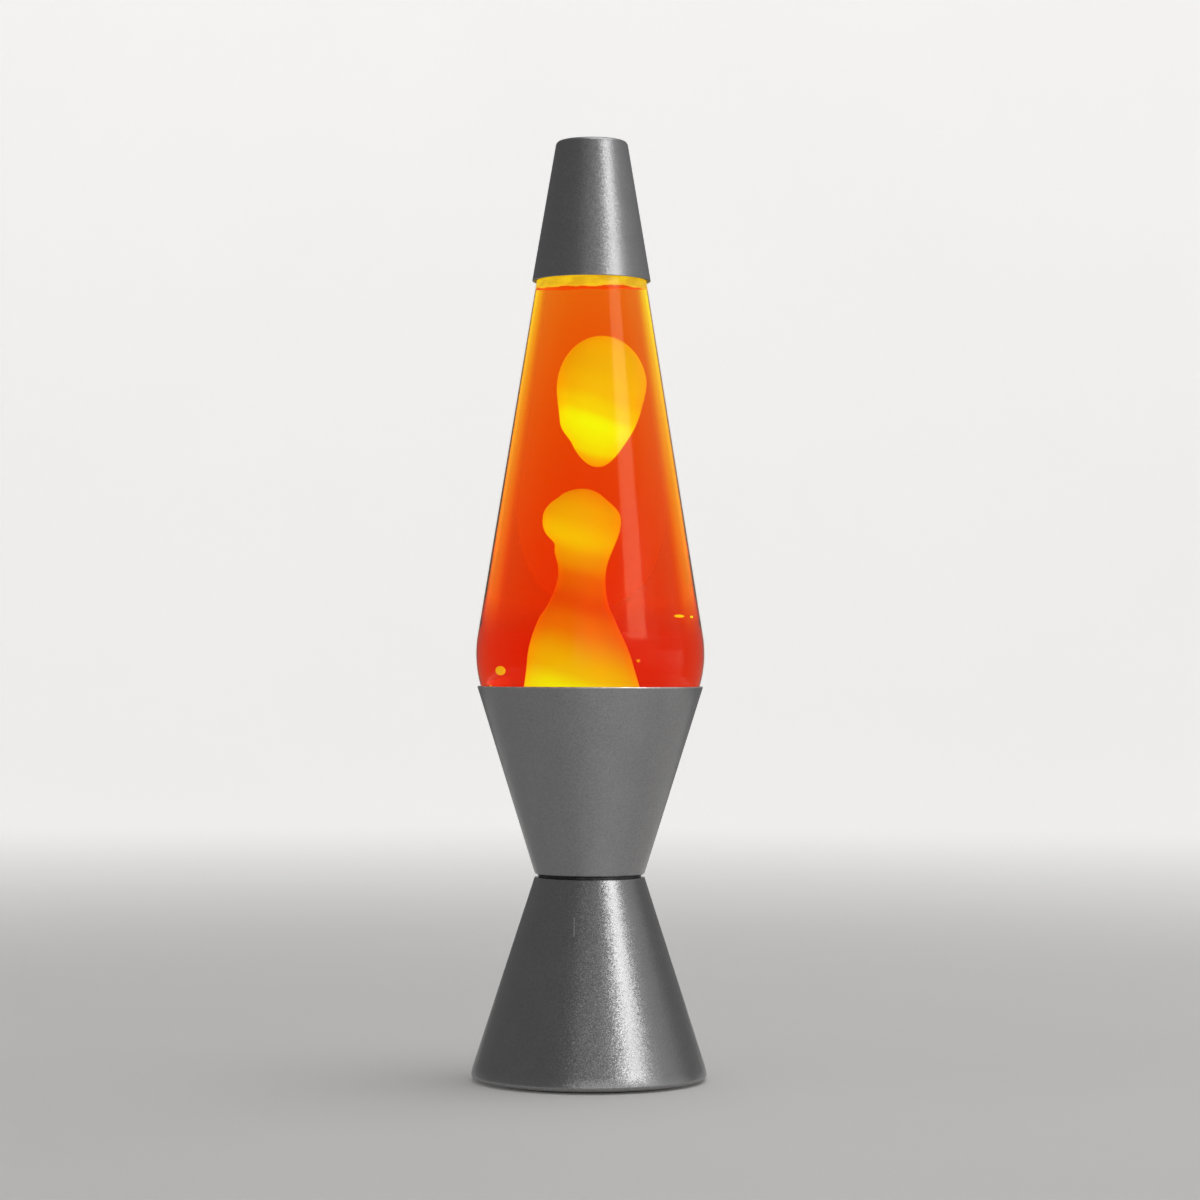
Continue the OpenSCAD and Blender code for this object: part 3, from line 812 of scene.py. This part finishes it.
GLOBE_BULGE = 51 * mm  # radius of the bulge that joins the globe's two cones
GLOBE_WIDE_Z = 187.5 * mm
GLOBE_ANGLE = 9.23  # half angle of the long upper cone, in degrees
SEAT_SLOPE = 0.3087
FOOT_ROUND = 7 * mm
PUNT_RISE = 2.5 * mm  # how far the middle of the globe's bottom is pushed up
SHOULDER_Z = 387 * mm
SHOULDER_ROUND = 6 * mm
NECK_RADIUS = 12.4 * mm
FINISH_RADIUS = 13.2 * mm
NECK_Z = 398 * mm
GLOBE_SEGMENTS = 224

seat_angle = degrees(atan(SEAT_SLOPE))
globe_angle = radians(GLOBE_ANGLE)
GLOBE_RADIUS = glass_high.x


def cone_r(z):
    """Outer radius of the globe's long cone."""
    top_of_bulge = GLOBE_WIDE_Z + GLOBE_BULGE * sin(globe_angle)
    at_top = GLOBE_RADIUS - GLOBE_BULGE * (1 - cos(globe_angle))
    return at_top - tan(globe_angle) * (z - top_of_bulge)


def seat_r(z):
    """Outer radius of the globe's lower cone, which stands in the bowl."""
    seat = radians(seat_angle)
    seat_top = GLOBE_WIDE_Z - GLOBE_BULGE * sin(seat)
    return GLOBE_RADIUS - GLOBE_BULGE * (1 - cos(seat)) - SEAT_SLOPE * (seat_top - z)


def globe_foot(inset):
    """The globe's pushed-up bottom and rounded foot, moved in by inset."""
    centre_z = glass_low.z + FOOT_ROUND
    centre_r = seat_r(centre_z) - FOOT_ROUND / cos(radians(seat_angle))
    flat_r = centre_r - 6 * mm
    punt = [(flat_r * i / 8, glass_low.z + inset + ease(PUNT_RISE, 0, i / 8)) for i in range(8)]
    return punt + arc(centre_r, centre_z, FOOT_ROUND - inset, -90, -seat_angle)


def globe_bulge(inset):
    """The arc that joins the globe's two cones, moved in by inset."""
    return arc(GLOBE_RADIUS - GLOBE_BULGE, GLOBE_WIDE_Z, GLOBE_BULGE - inset, -seat_angle, GLOBE_ANGLE, 40)


def globe_skin(inset):
    """The globe from its bottom centre to its shoulder, moved in by inset."""
    shoulder_r = cone_r(SHOULDER_Z) - SHOULDER_ROUND / cos(globe_angle)
    shoulder = arc(shoulder_r, SHOULDER_Z, SHOULDER_ROUND - inset, GLOBE_ANGLE, 78, 12)
    return globe_foot(inset) + globe_bulge(inset) + shoulder


def build_globe():
    """Two skins of one glass wall: a glossy outer one, and an inner one that the liquid wets."""
    top = glass_high.z
    bore = NECK_RADIUS - GLASS
    outer = globe_skin(0) + [
        (NECK_RADIUS + 0.5 * mm, NECK_Z - 4 * mm),
        (NECK_RADIUS + 0.1 * mm, NECK_Z - 2.6 * mm),
        (NECK_RADIUS, NECK_Z - 1 * mm),
        (NECK_RADIUS, top - 4.4 * mm),
        *arc(FINISH_RADIUS - 0.8 * mm, top - 3.4 * mm, 0.8 * mm, -60, 0, 6),
        *arc(FINISH_RADIUS - 1.6 * mm, top - 1.6 * mm, 1.6 * mm, 0, 90, 10),
        (bore - 0.2 * mm, top),
    ]
    inner = [(bore - 0.2 * mm, top), (bore - 0.7 * mm, top - 0.5 * mm), (bore, NECK_Z - 2 * mm)]
    inner += globe_skin(GLASS)[::-1]
    bm = bmesh.new()
    spin(bm, outer, segments=GLOBE_SEGMENTS)
    spin(bm, inner, segments=GLOBE_SEGMENTS)
    weld(bm)
    bottle = add_piece("globe_bottle", bm, "globe")
    first_inner = len(bottle.data.polygons) - (len(inner) - 1) * GLOBE_SEGMENTS
    for polygon in bottle.data.polygons[first_inner:]:
        polygon.material_index = 1
    outside = thin_glass("globe_glass_outside", 0.010, 0.12, (0.995, 0.99, 0.985), GLOW)
    inside = thin_glass("globe_glass_inside", 0.001, 0.02, (0.99, 0.99, 0.985), GLOW)
    stand_in(bottle, "globe_glass", "globe_glass", outside, inside)


WAX_POOL_Z = 150 * mm
FILM = 0.35 * mm  # how far the liquid's skin stays behind the glass's outer face
GLOW_BAND_HEIGHT = 4.6 * mm  # height of the band of painted glow at the liquid's surface by the glass, where the surface mirrors the lit liquid below
GLOW_LINE_HEIGHT = 0.75 * mm  # its brighter painted lower edge


def glow_band_reach(angle):
    """How far the band of painted glow reaches down at an angle round the globe."""
    wave = 0.35 * sin(3 * angle + 1) + 0.25 * sin(7 * angle) + 0.14 * sin(17 * angle + 2)
    return GLOW_BAND_HEIGHT + wave * mm


def build_liquid():
    """The tinted liquid. It fills the glass wall too, so that the two look like one body."""
    low = WAX_POOL_Z - 4 * mm
    top = liquid_high.z
    steps = 26
    side = [top - 6 * mm + 6 * mm * i / steps for i in range(steps + 1)]
    rim_r = cone_r(top) - FILM
    outline = [
        (0, low),
        (seat_r(low) - FILM, low),
        *globe_bulge(FILM),
        *[(cone_r(z) - FILM, z) for z in side],
        (rim_r - 0.5 * mm, top - 0.25 * mm),
        (rim_r - 1.4 * mm, top - 0.35 * mm),
        (rim_r * 0.5, top - 0.4 * mm),
        (0, top - 0.4 * mm),
    ]
    body = turned("lamp_liquid", "globe", outline, segments=GLOBE_SEGMENTS, smooth_angle=50)
    # faces near the top get the painted glow, and the band's lowest strip gets a brighter painted line
    for polygon in body.data.polygons:
        centre = polygon.center
        above = centre.z - (top - glow_band_reach(atan2(centre.y, centre.x)))
        if above > GLOW_LINE_HEIGHT:
            polygon.material_index = 1
        elif above > 0:
            polygon.material_index = 2
    band_glow = painted_surface_glow("painted_surface_glow", (0.62, 0.34, 0.004), (0.78, 0.50, 0.006))
    band_glow_line = painted_surface_glow("band_glow_line", (0.76, 0.34, 0.006), (0.90, 0.46, 0.01))
    stand_in(body, "liquid", "tinted_liquid", liquid_material(), band_glow, band_glow_line)


# ---- Wax ----

SINK = 2.1 * mm  # the liquid lifts the look of what is in it, so the wax stands this much lower
COLUMN_X = -2.5 * mm  # the column stands a little to the left
COLUMN_LEAN = 2.1 * mm  # and its mound leans that way
LOBE_ANGLE = radians(174)
MOUND_FOOT = 31.4 * mm  # radius at which the column's mound leaves the pool
HEAD_Z = 246.5  # the widest part of the column's head, in millimetres

# The column's side from its mound up to its neck: radius and height.
COLUMN_SIDE = tuple(
    (r * mm, z * mm)
    for r, z in (
        (20.6, 167), (19.6, 174.5), (18.4, 180.3), (17.6, 184.3), (16.9, 188), (16.0, 191.3), (14.9, 194.5),
        (13.7, 198.3), (12.3, 203), (10.5, 207.3), (9.2, 212), (8.3, 216.5), (7.9, 220), (7.8, 222.5),
    )
)


def head_lobe(z):
    """How far the lobe on the left of the column's head stands out at height z, in millimetres."""
    return 0.9 * bell(z, HEAD_Z, 7, 4) - 0.5 * bell(z, 256.5, 1.3) - 1.2 * bell(z, 236, 2.6)


def from_right(angle):
    """How far an angle is from the lamp's right, whichever way round."""
    return min(angle, 2 * pi - angle)


def column_place(radius, height, angle):
    """The column is off centre above the pool, with a lobe on the left of its head."""
    share = clamp((height - WAX_POOL_Z + 4 * mm) / (6 * mm))
    away = (angle - LOBE_ANGLE + pi) % (2 * pi) - pi
    shoulder = 1.9 * bell(height / mm, 256, 5) * bell(from_right(angle), 0, 0.9)
    outwards = head_lobe(height / mm) * bell(away, 0, 0.8) - shoulder
    r = radius + outwards * mm * min(1, radius / (4 * mm))
    lean = COLUMN_LEAN * bell(height, 200 * mm, 17 * mm)
    sink = SINK * clamp((height - 165 * mm) / (50 * mm))
    return (r * cos(angle) + COLUMN_X * share - lean, r * sin(angle), height - sink)


def build_column():
    inset = GLASS + 0.12 * mm
    pool_r = seat_r(WAX_POOL_Z) - inset
    head_z = HEAD_Z * mm
    head_r = 12.5 * mm
    head_height = column_high.z - head_z
    turns = [radians(a) for a in range(0, 90, 5)]
    outline = (
        globe_foot(inset)
        + [(pool_r, WAX_POOL_Z - 0.3 * mm), (pool_r - 0.6 * mm, WAX_POOL_Z)]
        + [(MOUND_FOOT + 4.6 * mm, WAX_POOL_Z), (MOUND_FOOT + 1.6 * mm, WAX_POOL_Z + 0.3 * mm)]
        + swell(MOUND_FOOT, COLUMN_SIDE[0][0], WAX_POOL_Z + 0.8 * mm, COLUMN_SIDE[0][1])
        + through(COLUMN_SIDE)
        + swell(COLUMN_SIDE[-1][0], head_r, COLUMN_SIDE[-1][1], head_z, 28)
        + [(head_r * cos(a), head_z + head_height * sin(a)) for a in turns]
        + [(0, column_high.z)]
    )
    column = turned("wax_column_body", "globe", outline, segments=160, place=column_place, smooth_angle=60)
    glow = wax(
        "wax_column",
        0.3,
        (140, (0.80, 0.44, 0.02)),
        (151, (0.84, 0.60, 0.02)),
        (159, (0.88, 1.50, 0.02)),
        (167, (0.80, 2.45, 0.02)),
        (171, (0.77, 2.50, 0.02)),
        (180, (0.72, 1.50, 0.012)),
        (196.5, (0.66, 0.52, 0.006)),
        (207, (0.60, 0.25, 0.004)),
        (216, (0.62, 0.44, 0.004)),
        (225, (0.68, 1.10, 0.01)),
        (234, (0.75, 1.70, 0.014)),
        (246, (0.70, 1.10, 0.012)),
        (260, (0.64, 0.75, 0.01)),
    )
    stand_in(column, "wax_column", "wax", glow)


BLOB_WIDE_Z = 305 * mm


def blob_place(radius, height, angle):
    """The free blob's tail leans to the left, where it has a soft step. Its right flank is flatter."""
    centre_x = (blob_low.x + blob_high.x) / 2
    step = 0.8 * bell(height / mm, 288, 4.5) - 0.3 * bell(height / mm, 281, 2.5)
    flank = 1.25 * clamp((309 * mm - height) / (12 * mm))
    outwards = step * bell(angle, pi, 0.75) - flank * bell(from_right(angle), 0, 0.85)
    r = radius * (1 + 0.012 * sin(3 * angle)) + outwards * mm * min(1, radius / (9 * mm))
    lean = 1.3 * mm * clamp((BLOB_WIDE_Z - height) / (35 * mm)) ** 2
    return (r * cos(angle) + centre_x - lean, r * sin(angle), height - SINK)


def build_blob():
    wide_r = (blob_high.x - blob_low.x) / 2
    tail = BLOB_WIDE_Z - blob_low.z
    crown = blob_high.z - BLOB_WIDE_Z
    steps = 40
    outline = [(0, blob_low.z)]
    for i in range(1, steps):
        a = radians(-90 + 90 * i / steps)
        narrowing = 1 + 0.33 * min(1, cos(a) / 0.75)
        outline.append((wide_r * cos(a) ** narrowing, BLOB_WIDE_Z + tail * sin(a)))
    for i in range(steps):
        a = radians(90 * i / steps)
        outline.append((wide_r * cos(a), BLOB_WIDE_Z + crown * sin(a)))
    outline.append((0, blob_high.z))
    blob = turned("wax_blob_body", "blob", outline, segments=128, place=blob_place, smooth_angle=60)
    glow = wax(
        "wax_blob",
        0.35,
        (267.8, (0.72, 0.95, 0.01)),
        (271.9, (0.74, 1.40, 0.01)),
        (275.4, (0.74, 2.15, 0.014)),
        (286.5, (0.74, 2.20, 0.014)),
        (294.6, (0.74, 1.30, 0.01)),
        (302.8, (0.72, 0.88, 0.008)),
        (314.4, (0.68, 0.76, 0.006)),
        (326.1, (0.66, 0.80, 0.006)),
    )
    stand_in(blob, "wax_blob", "wax", glow)


# Small drops in the liquid: centre and radius in millimetres, and how far each is drawn out sideways.
DROPS = (
    ((-30.6, 0, 181.6), 1.9, 1.0),
    ((30.4, 0, 202.4), 0.75, 2.7),
    ((35.8, 0.5, 202.3), 0.6, 1.3),
    ((-33, 6, 176.5), 0.6, 1.0),
    ((16.5, -6, 185.1), 0.6, 1.0),
)


def build_drops():
    """Drops a little flattened by the flow. The two near the glass are drawn out into a streak."""
    bm = bmesh.new()
    for i, (centre, radius, length) in enumerate(DROPS):
        flat = Matrix.Diagonal((length, 1.0, 0.82 + 0.05 * (i % 3), 1.0))
        place = Matrix.Translation(Vector(centre) * mm) @ flat
        bmesh.ops.create_icosphere(bm, subdivisions=4, radius=radius * mm, matrix=place)
    drops = add_piece("wax_drops", bm, "globe", 80)
    glow = wax("wax_drops", 0, (175, (0.62, 1.1, 0.02)), (205, (0.85, 1.9, 0.1)))
    stand_in(drops, "wax_droplets", "wax", glow)


def build_coil():
    """Ring of coiled wire on the globe's floor."""
    ring_z = (coil_low.z + coil_high.z) / 2
    coil_r = (coil_high.z - coil_low.z) / 2
    ring_r = coil_high.x - coil_r
    wire = 0.45 * mm
    turns = 64
    steps = turns * 16
    path = []
    for i in range(steps):
        turn = 2 * pi * i / steps
        twist = turn * turns
        r = ring_r + (coil_r - wire) * cos(twist)
        path.append(Vector(on_ring(r, ring_z + (coil_r - wire) * sin(twist), turn)))
    bm = bmesh.new()
    sweep(bm, path, wire, loop=True)
    coil = add_piece("wax_coil_wire", bm, "globe", 60)
    material = zinc_steel()
    material.name = "coil_wire"
    stand_in(coil, "wax_coil", "coil_wire", material)


# ---- Closure ----

FLUTES = 21


def crown_place(radius, height, angle):
    """The closure's skirt waves in and out where it is crimped."""
    share = clamp((crown_high.z - 2.2 * mm - height) / (3.4 * mm))
    wave = 0.45 * mm * (cos(FLUTES * angle) - 1) * share
    r = radius + (wave if radius > crown_high.x / 2 else 0)
    return on_ring(r, height, angle)


def build_crown():
    top, low = crown_high.z, crown_low.z
    plate = 0.3 * mm
    skirt_r = crown_high.x
    top_r = skirt_r - 0.8 * mm
    shoulder = arc(top_r - 1.2 * mm, top - 1.2 * mm, 1.2 * mm, 90, 8, 10)
    inner_shoulder = arc(top_r - 1.2 * mm, top - 1.2 * mm, 1.2 * mm - plate, 8, 90, 10)
    outline = [
        (0, top),
        (6 * mm, top),
        *shoulder,
        (top_r + 0.2 * mm, top - 3 * mm),
        (skirt_r - 0.2 * mm, low + 0.8 * mm),
        (skirt_r, low + 0.1 * mm),
        (skirt_r - 0.25 * mm, low),
        (skirt_r - 0.5 * mm, low + 0.9 * mm),
        (top_r + 0.2 * mm - plate, top - 3 * mm),
        *inner_shoulder,
        (0, top - plate),
    ]
    crown = turned("crown_closure_shell", "globe", outline, segments=FLUTES * 14, place=crown_place)
    stand_in(crown, "crown_closure", "tin_plate", tin_plate())


# ---- Lamp bulb ----

THREAD_PITCH = 2.82 * mm
THREAD_DEPTH = 0.45 * mm
BULB_GLASS = 0.6 * mm


def build_bulb_glass():
    neck_r = 7.3 * mm
    wide_r = bulb_high.x
    wide_z = bulb_high.z - wide_r

    def outline(inset):
        side = swell(neck_r - inset, wide_r - inset, bulb_low.z, wide_z, 30)
        return side + arc(0, wide_z, wide_r - inset, 0, 90, 30)[:-1] + [(0, bulb_high.z - inset)]

    bm = bmesh.new()
    spin(bm, outline(0) + outline(BULB_GLASS)[::-1] + [outline(0)[0]], segments=128)
    weld(bm)
    glass = add_piece("bulb_envelope", bm, "bulb")
    stand_in(glass, "bulb_glass", "bulb_glass", bulb_glass())


def thread_place(radius, height, angle):
    """A round thread pressed into the thin shell, fading out at both of its ends."""
    fade = min(1, (height - shell_low.z) / (2 * mm), (shell_high.z - height) / (2 * mm))
    phase = 2 * pi * height / THREAD_PITCH - angle
    r = radius - THREAD_DEPTH * max(0, fade) * (1 - cos(phase)) / 2
    return on_ring(r, height, angle)


def build_screw_shell():
    """The bulb's thin shell with its rolled thread."""
    steps = 84
    side = [shell_low.z + (shell_high.z - shell_low.z) * i / steps for i in range(steps + 1)]
    outer = shell_high.x
    outline = [(outer, z) for z in side] + [(outer - 0.5 * mm, z) for z in reversed(side)]
    shell = turned("bulb_thread", "bulb", outline, True, 96, thread_place, smooth_angle=50)
    stand_in(shell, "bulb_screw_shell", "nickel_shell", nickel_shell())


def build_filament():
    """The glowing wire: a fine coil that follows the CAD arch."""
    radius = (filament_high.x - filament_low.x) / 2 - 0.4 * mm
    centre_z = filament_high.z - 0.4 * mm - radius
    coil_r = 0.28 * mm
    turns = 34
    steps = turns * 12
    path = []
    for i in range(steps + 1):
        turn = pi * i / steps
        twist = 2 * turns * turn
        r = radius + coil_r * cos(twist)
        path.append(Vector((r * cos(turn), coil_r * sin(twist), centre_z + r * sin(turn))))
    bm = bmesh.new()
    sweep(bm, path, 0.1 * mm)
    wire = add_piece("filament_coil", bm, "bulb", 60)
    stand_in(wire, "filament", "tungsten", glowing_tungsten())


# ---- CAD nodes that keep their shape ----


def dress(material, *names):
    """Gives CAD nodes a better material."""
    for name in names:
        slots = frame["nodes"][name].data.materials
        slots.clear()
        slots.append(material)


def dress_frame():
    dress(black_plastic(), "bottom_cover")
    dress(black_rubber(), "foot_ring", "cord_grommet")
    # the bracket's near-black is painted shade for the waist's shadowed gap
    dress(shade_dark_steel(), "socket_bracket")
    zinc = zinc_steel()
    dress(zinc, "waist_screws", "waist_nuts", "central_rod")
    dress(zinc, "lower_washer", "lower_nut", "bracket_nut")
    dress(porcelain(), "lampholder_body")
    dress(brass(), "lampholder_shell", "lampholder_contact", "lampholder_terminals")
    dress(black_plastic(), "bulb_contact")
    dress(stem_glass(), "bulb_stem")
    dress(liner_plastic(), "crown_liner")


# ---- Studio ----

COVE_RADIUS = 3.4
COVE_BEND = 1.2
COVE_HEIGHT = 1.35


def cove_material():
    """Matt pale paint with a trace of unevenness. The cove's far parts glow as if lit from behind."""
    material, shader = new_material("cove", Roughness=0.9)
    paint(shader, noise(material, 0.35, 3), (0.3, (0.70, 0.69, 0.68)), (0.7, (0.72, 0.71, 0.70)))
    away = node(material.node_tree, "VectorMath", {0: place_of(material)}, operation="LENGTH")
    share = spread(away.outputs["Value"], 0.3, 2.4, 0, 1)
    glow = ramp(share, (0.0, (0.06, 0.059, 0.058)), (1.0, (0.50, 0.495, 0.49)), interpolation="EASE")
    feed(shader, Emission_Color=glow, Emission_Strength=1.0)
    return material


def build_cove():
    """A round cove: a pale floor that curves up into a wall on every side."""
    bm = bmesh.new()
    flat = COVE_RADIUS - COVE_BEND
    outline = [(0, 0)] + [(flat * i / 8, 0) for i in range(1, 8)]
    outline += arc(flat, COVE_BEND, COVE_BEND, -90, 0, 32) + [(COVE_RADIUS, COVE_HEIGHT)]
    spin(bm, outline, segments=128)
    cove = mesh_object("cove", bm)
    shade_smooth(cove.data, 180)
    cove.data.materials.append(cove_material())


def area_light(name, place, target, size, radiance):
    """A softbox of size (width, height) whose face shines with the given radiance towards target."""
    light = bpy.data.lights.new(name, "AREA")
    light.shape = "RECTANGLE"
    light.size, light.size_y = size
    light.energy = radiance * pi * size[0] * size[1]
    lamp = new_object(name, light)
    lamp.location = place
    lamp.rotation_euler = (Vector(target) - Vector(place)).to_track_quat("-Z", "Y").to_euler()
    lamp.visible_camera = False
    return lamp


def around(azimuth, distance, height):
    """A point at an azimuth to the right of the camera's side of the lamp, in degrees."""
    a = radians(azimuth)
    return Vector((sin(a) * distance, -cos(a) * distance, height))


END_FADE = radians(8)
NO_FADE = 1e-4


def screen_material(name, azimuths, heights, glow, fades):
    """Glow that runs from the first azimuth to the last and fades out at the screen's ends and edges."""
    material, shader = new_material(name, Base_Color=(0, 0, 0, 1), Roughness=1.0, Specular_IOR_Level=0.0)
    parts = place_parts(material)
    azimuth = maths("ARCTAN2", parts["X"], maths("MULTIPLY", parts["Y"], -1.0))
    first, last = (radians(a) for a in azimuths)
    feed(shader, Emission_Color=ramp(spread(azimuth, first, last, 0, 1), *glow), Emission_Strength=1.0)
    fade = END_FADE if azimuths[1] - azimuths[0] < 360 else NO_FADE
    start = spread(azimuth, first, first + fade, 0, 1)
    shown = maths("MULTIPLY", start, spread(azimuth, last - fade, last, 1, 0))
    low, high = heights
    if high > low:
        shown = maths("MULTIPLY", shown, spread(parts["Z"], low, low + fades[0], 0, 1))
        if fades[1]:
            shown = maths("MULTIPLY", shown, spread(parts["Z"], high - fades[1], high, 1, 0))
    feed(shader, Alpha=shown)
    return material


def screen(name, azimuths, distances, heights, seen_by, glow, fades=(0.06, 0)):
    """A curved screen round the lamp that only one kind of ray sees.

    distances and heights are those of its low edge and its high edge, where the glow fades out over the
    lengths in fades.
    """
    bm = bmesh.new()
    steps = 32
    first, last = azimuths
    rows = []
    for away, height in zip(distances, heights):
        turns = [first + (last - first) * i / steps for i in range(steps + 1)]
        rows.append([bm.verts.new(around(turn, away, height)) for turn in turns])
    for i in range(steps):
        bm.faces.new((rows[0][i], rows[0][i + 1], rows[1][i + 1], rows[1][i]))
    panel = mesh_object(name, bm)
    panel.data.materials.append(screen_material(name, azimuths, heights, glow, fades))
    panel.visible_camera = False
    panel.visible_diffuse = False
    panel.visible_glossy = seen_by == "glossy"
    panel.visible_transmission = seen_by == "transmission"
    panel.visible_volume_scatter = False
    panel.visible_shadow = False


# Glow of a panel at the side of the lamp, from the end nearer its middle line outwards. It makes up for
# the green that the liquid takes out, as the lit liquid's own haze does at the globe's edges.
EDGE_GLOW = (
    (0, (0.85, 1.05, 0.4)),
    (0.17, (0.95, 1.6, 0.2)),
    (0.45, (1.2, 3.2, 0.2)),
    (0.7, (2.2, 5.8, 0.2)),
    (0.85, (2.2, 5.6, 0.2)),
    (1, (1.1, 1.6, 0.2)),
)
# What is left of it lower down, and at the globe's widest part.
LOW_GLOW = ((0, (0.88, 0.60, 0.05)), (0.3, (1.0, 0.80, 0.05)), (1, (1.9, 2.4, 0.05)))
DEEP_GLOW = (0.77, 0.39, 0.04)
FLOOR_GLOW = (0.80, 0.79, 0.50)  # the floor as the liquid shows it from above


def mirrored(glow):
    """The same glow, run the other way."""
    return [(1 - place, colour) for place, colour in reversed(glow)]


def even(colour):
    """A glow of one colour all along."""
    return [(place, colour) for place in (0, 0.5, 1)]


def side_panel(name, near, far, green_share):
    """A panel and a lower one behind it, from near, by the lamp's middle line, outwards to azimuth far."""
    azimuths = sorted((near, far))
    edge = [(place, (red, green * green_share, blue)) for place, (red, green, blue) in EDGE_GLOW]
    low = LOW_GLOW
    if azimuths[0] == far:
        edge, low = mirrored(edge), mirrored(low)
    screen("panel_" + name, azimuths, (0.75, 0.75), (0.03, 0.38), "transmission", edge, (0.065, 0.08))
    screen("panel_low_" + name, azimuths, (0.78, 0.78), (-0.06, 0.2), "transmission", low, (0.02, 0.06))


# Grey cards that keep the metal's sides dark: azimuths, distances and heights of their edges, greys.
CARDS = {
    "card_left": ((-178, -12), (1.0, 1.0), (-0.04, 2.2), ((0, 0.12), (0.3, 0.17), (1, 0.17))),
    "card_right_low": ((70, 178), (3.0, 3.0), (0.2, 1.45), ((0, 0.42), (0.4, 0.42), (1, 0.12))),
    "card_right_high": ((70, 178), (2.9, 2.9), (1.35, 4.5), ((0, 0.50), (0.5, 0.36), (1, 0.12))),
}
FLOOR_GREYS = ((0, 0.30), (0.5, 0.36), (0.72, 0.52), (0.85, 0.50), (1, 0.42))


def build_screens():
    """Panels that light the globe's edges and the liquid, and the cards round the metal."""
    side_panel("front_right", 28, 68, 0.8)
    side_panel("front_left", -28, -68, 1)
    side_panel("back_right", 152, 112, 0.8)
    side_panel("back_left", -152, -112, 1)
    ring = (-180, 180)
    close = even(DEEP_GLOW)
    screen("panel_close", ring, (0.062, 0.062), (-0.01, 0.204), "transmission", close, (0.01, 0.016))
    screen("floor_glow", ring, (0.055, 2.2), (0.003, 0.003), "transmission", even(FLOOR_GLOW))
    for name, (azimuths, distances, heights, greys) in CARDS.items():
        screen(name, azimuths, distances, heights, "glossy", greys)
    screen("card_right_near", (100, 178), (0.8, 0.8), (-0.02, 0.45), "glossy", even(0.2), (0.02, 0.05))
    screen("floor_card", (-150, 90), (0.06, 0.8), (0.002, 0.002), "glossy", FLOOR_GREYS)


def build_lights():
    middle = (0, 0, 0.21)
    key = area_light("key_softbox", around(49, 1.5, 1.15), middle, (0.64, 1.25), 3.05)
    key.visible_diffuse = False
    area_light("top_softbox", (0.5, 0.1, 2.3), (0, 0, 0), (1.6, 1.6), 1.9)


def build_world():
    world = bpy.data.worlds.new("studio")
    bpy.context.scene.world = world
    world.use_nodes = True
    background = world.node_tree.nodes["Background"]
    background.inputs["Color"].default_value = (0.97, 0.985, 1.0, 1)
    background.inputs["Strength"].default_value = 0.24


CAMERA_DISTANCE = 1.456
EYE_HEIGHT = 0.1847
AIM = Vector((0.0042, 0, 0.2112))
LENS = 99
ROLL = radians(0.18)


def build_camera():
    camera = bpy.data.cameras.new("camera")
    camera.lens = LENS
    camera.sensor_width = 36
    camera.clip_start = 0.05
    camera.clip_end = 50
    holder = new_object("camera", camera)
    eye = Vector((0, -CAMERA_DISTANCE, EYE_HEIGHT))
    turn = (AIM - eye).to_track_quat("-Z", "Y").to_matrix().to_4x4()
    holder.matrix_world = Matrix.Translation(eye) @ turn @ Matrix.Rotation(ROLL, 4, "Z")
    bpy.context.scene.camera = holder


# ---- Build ----

build_camera()
build_cove()
build_lights()
build_screens()
build_world()
bpy.context.scene.view_settings.view_transform = "Standard"

build_base()
build_bowl()
build_cap()
build_globe()
build_liquid()
build_column()
build_blob()
build_drops()
build_coil()
build_crown()
build_bulb_glass()
build_screw_shell()
build_filament()
dress_frame()
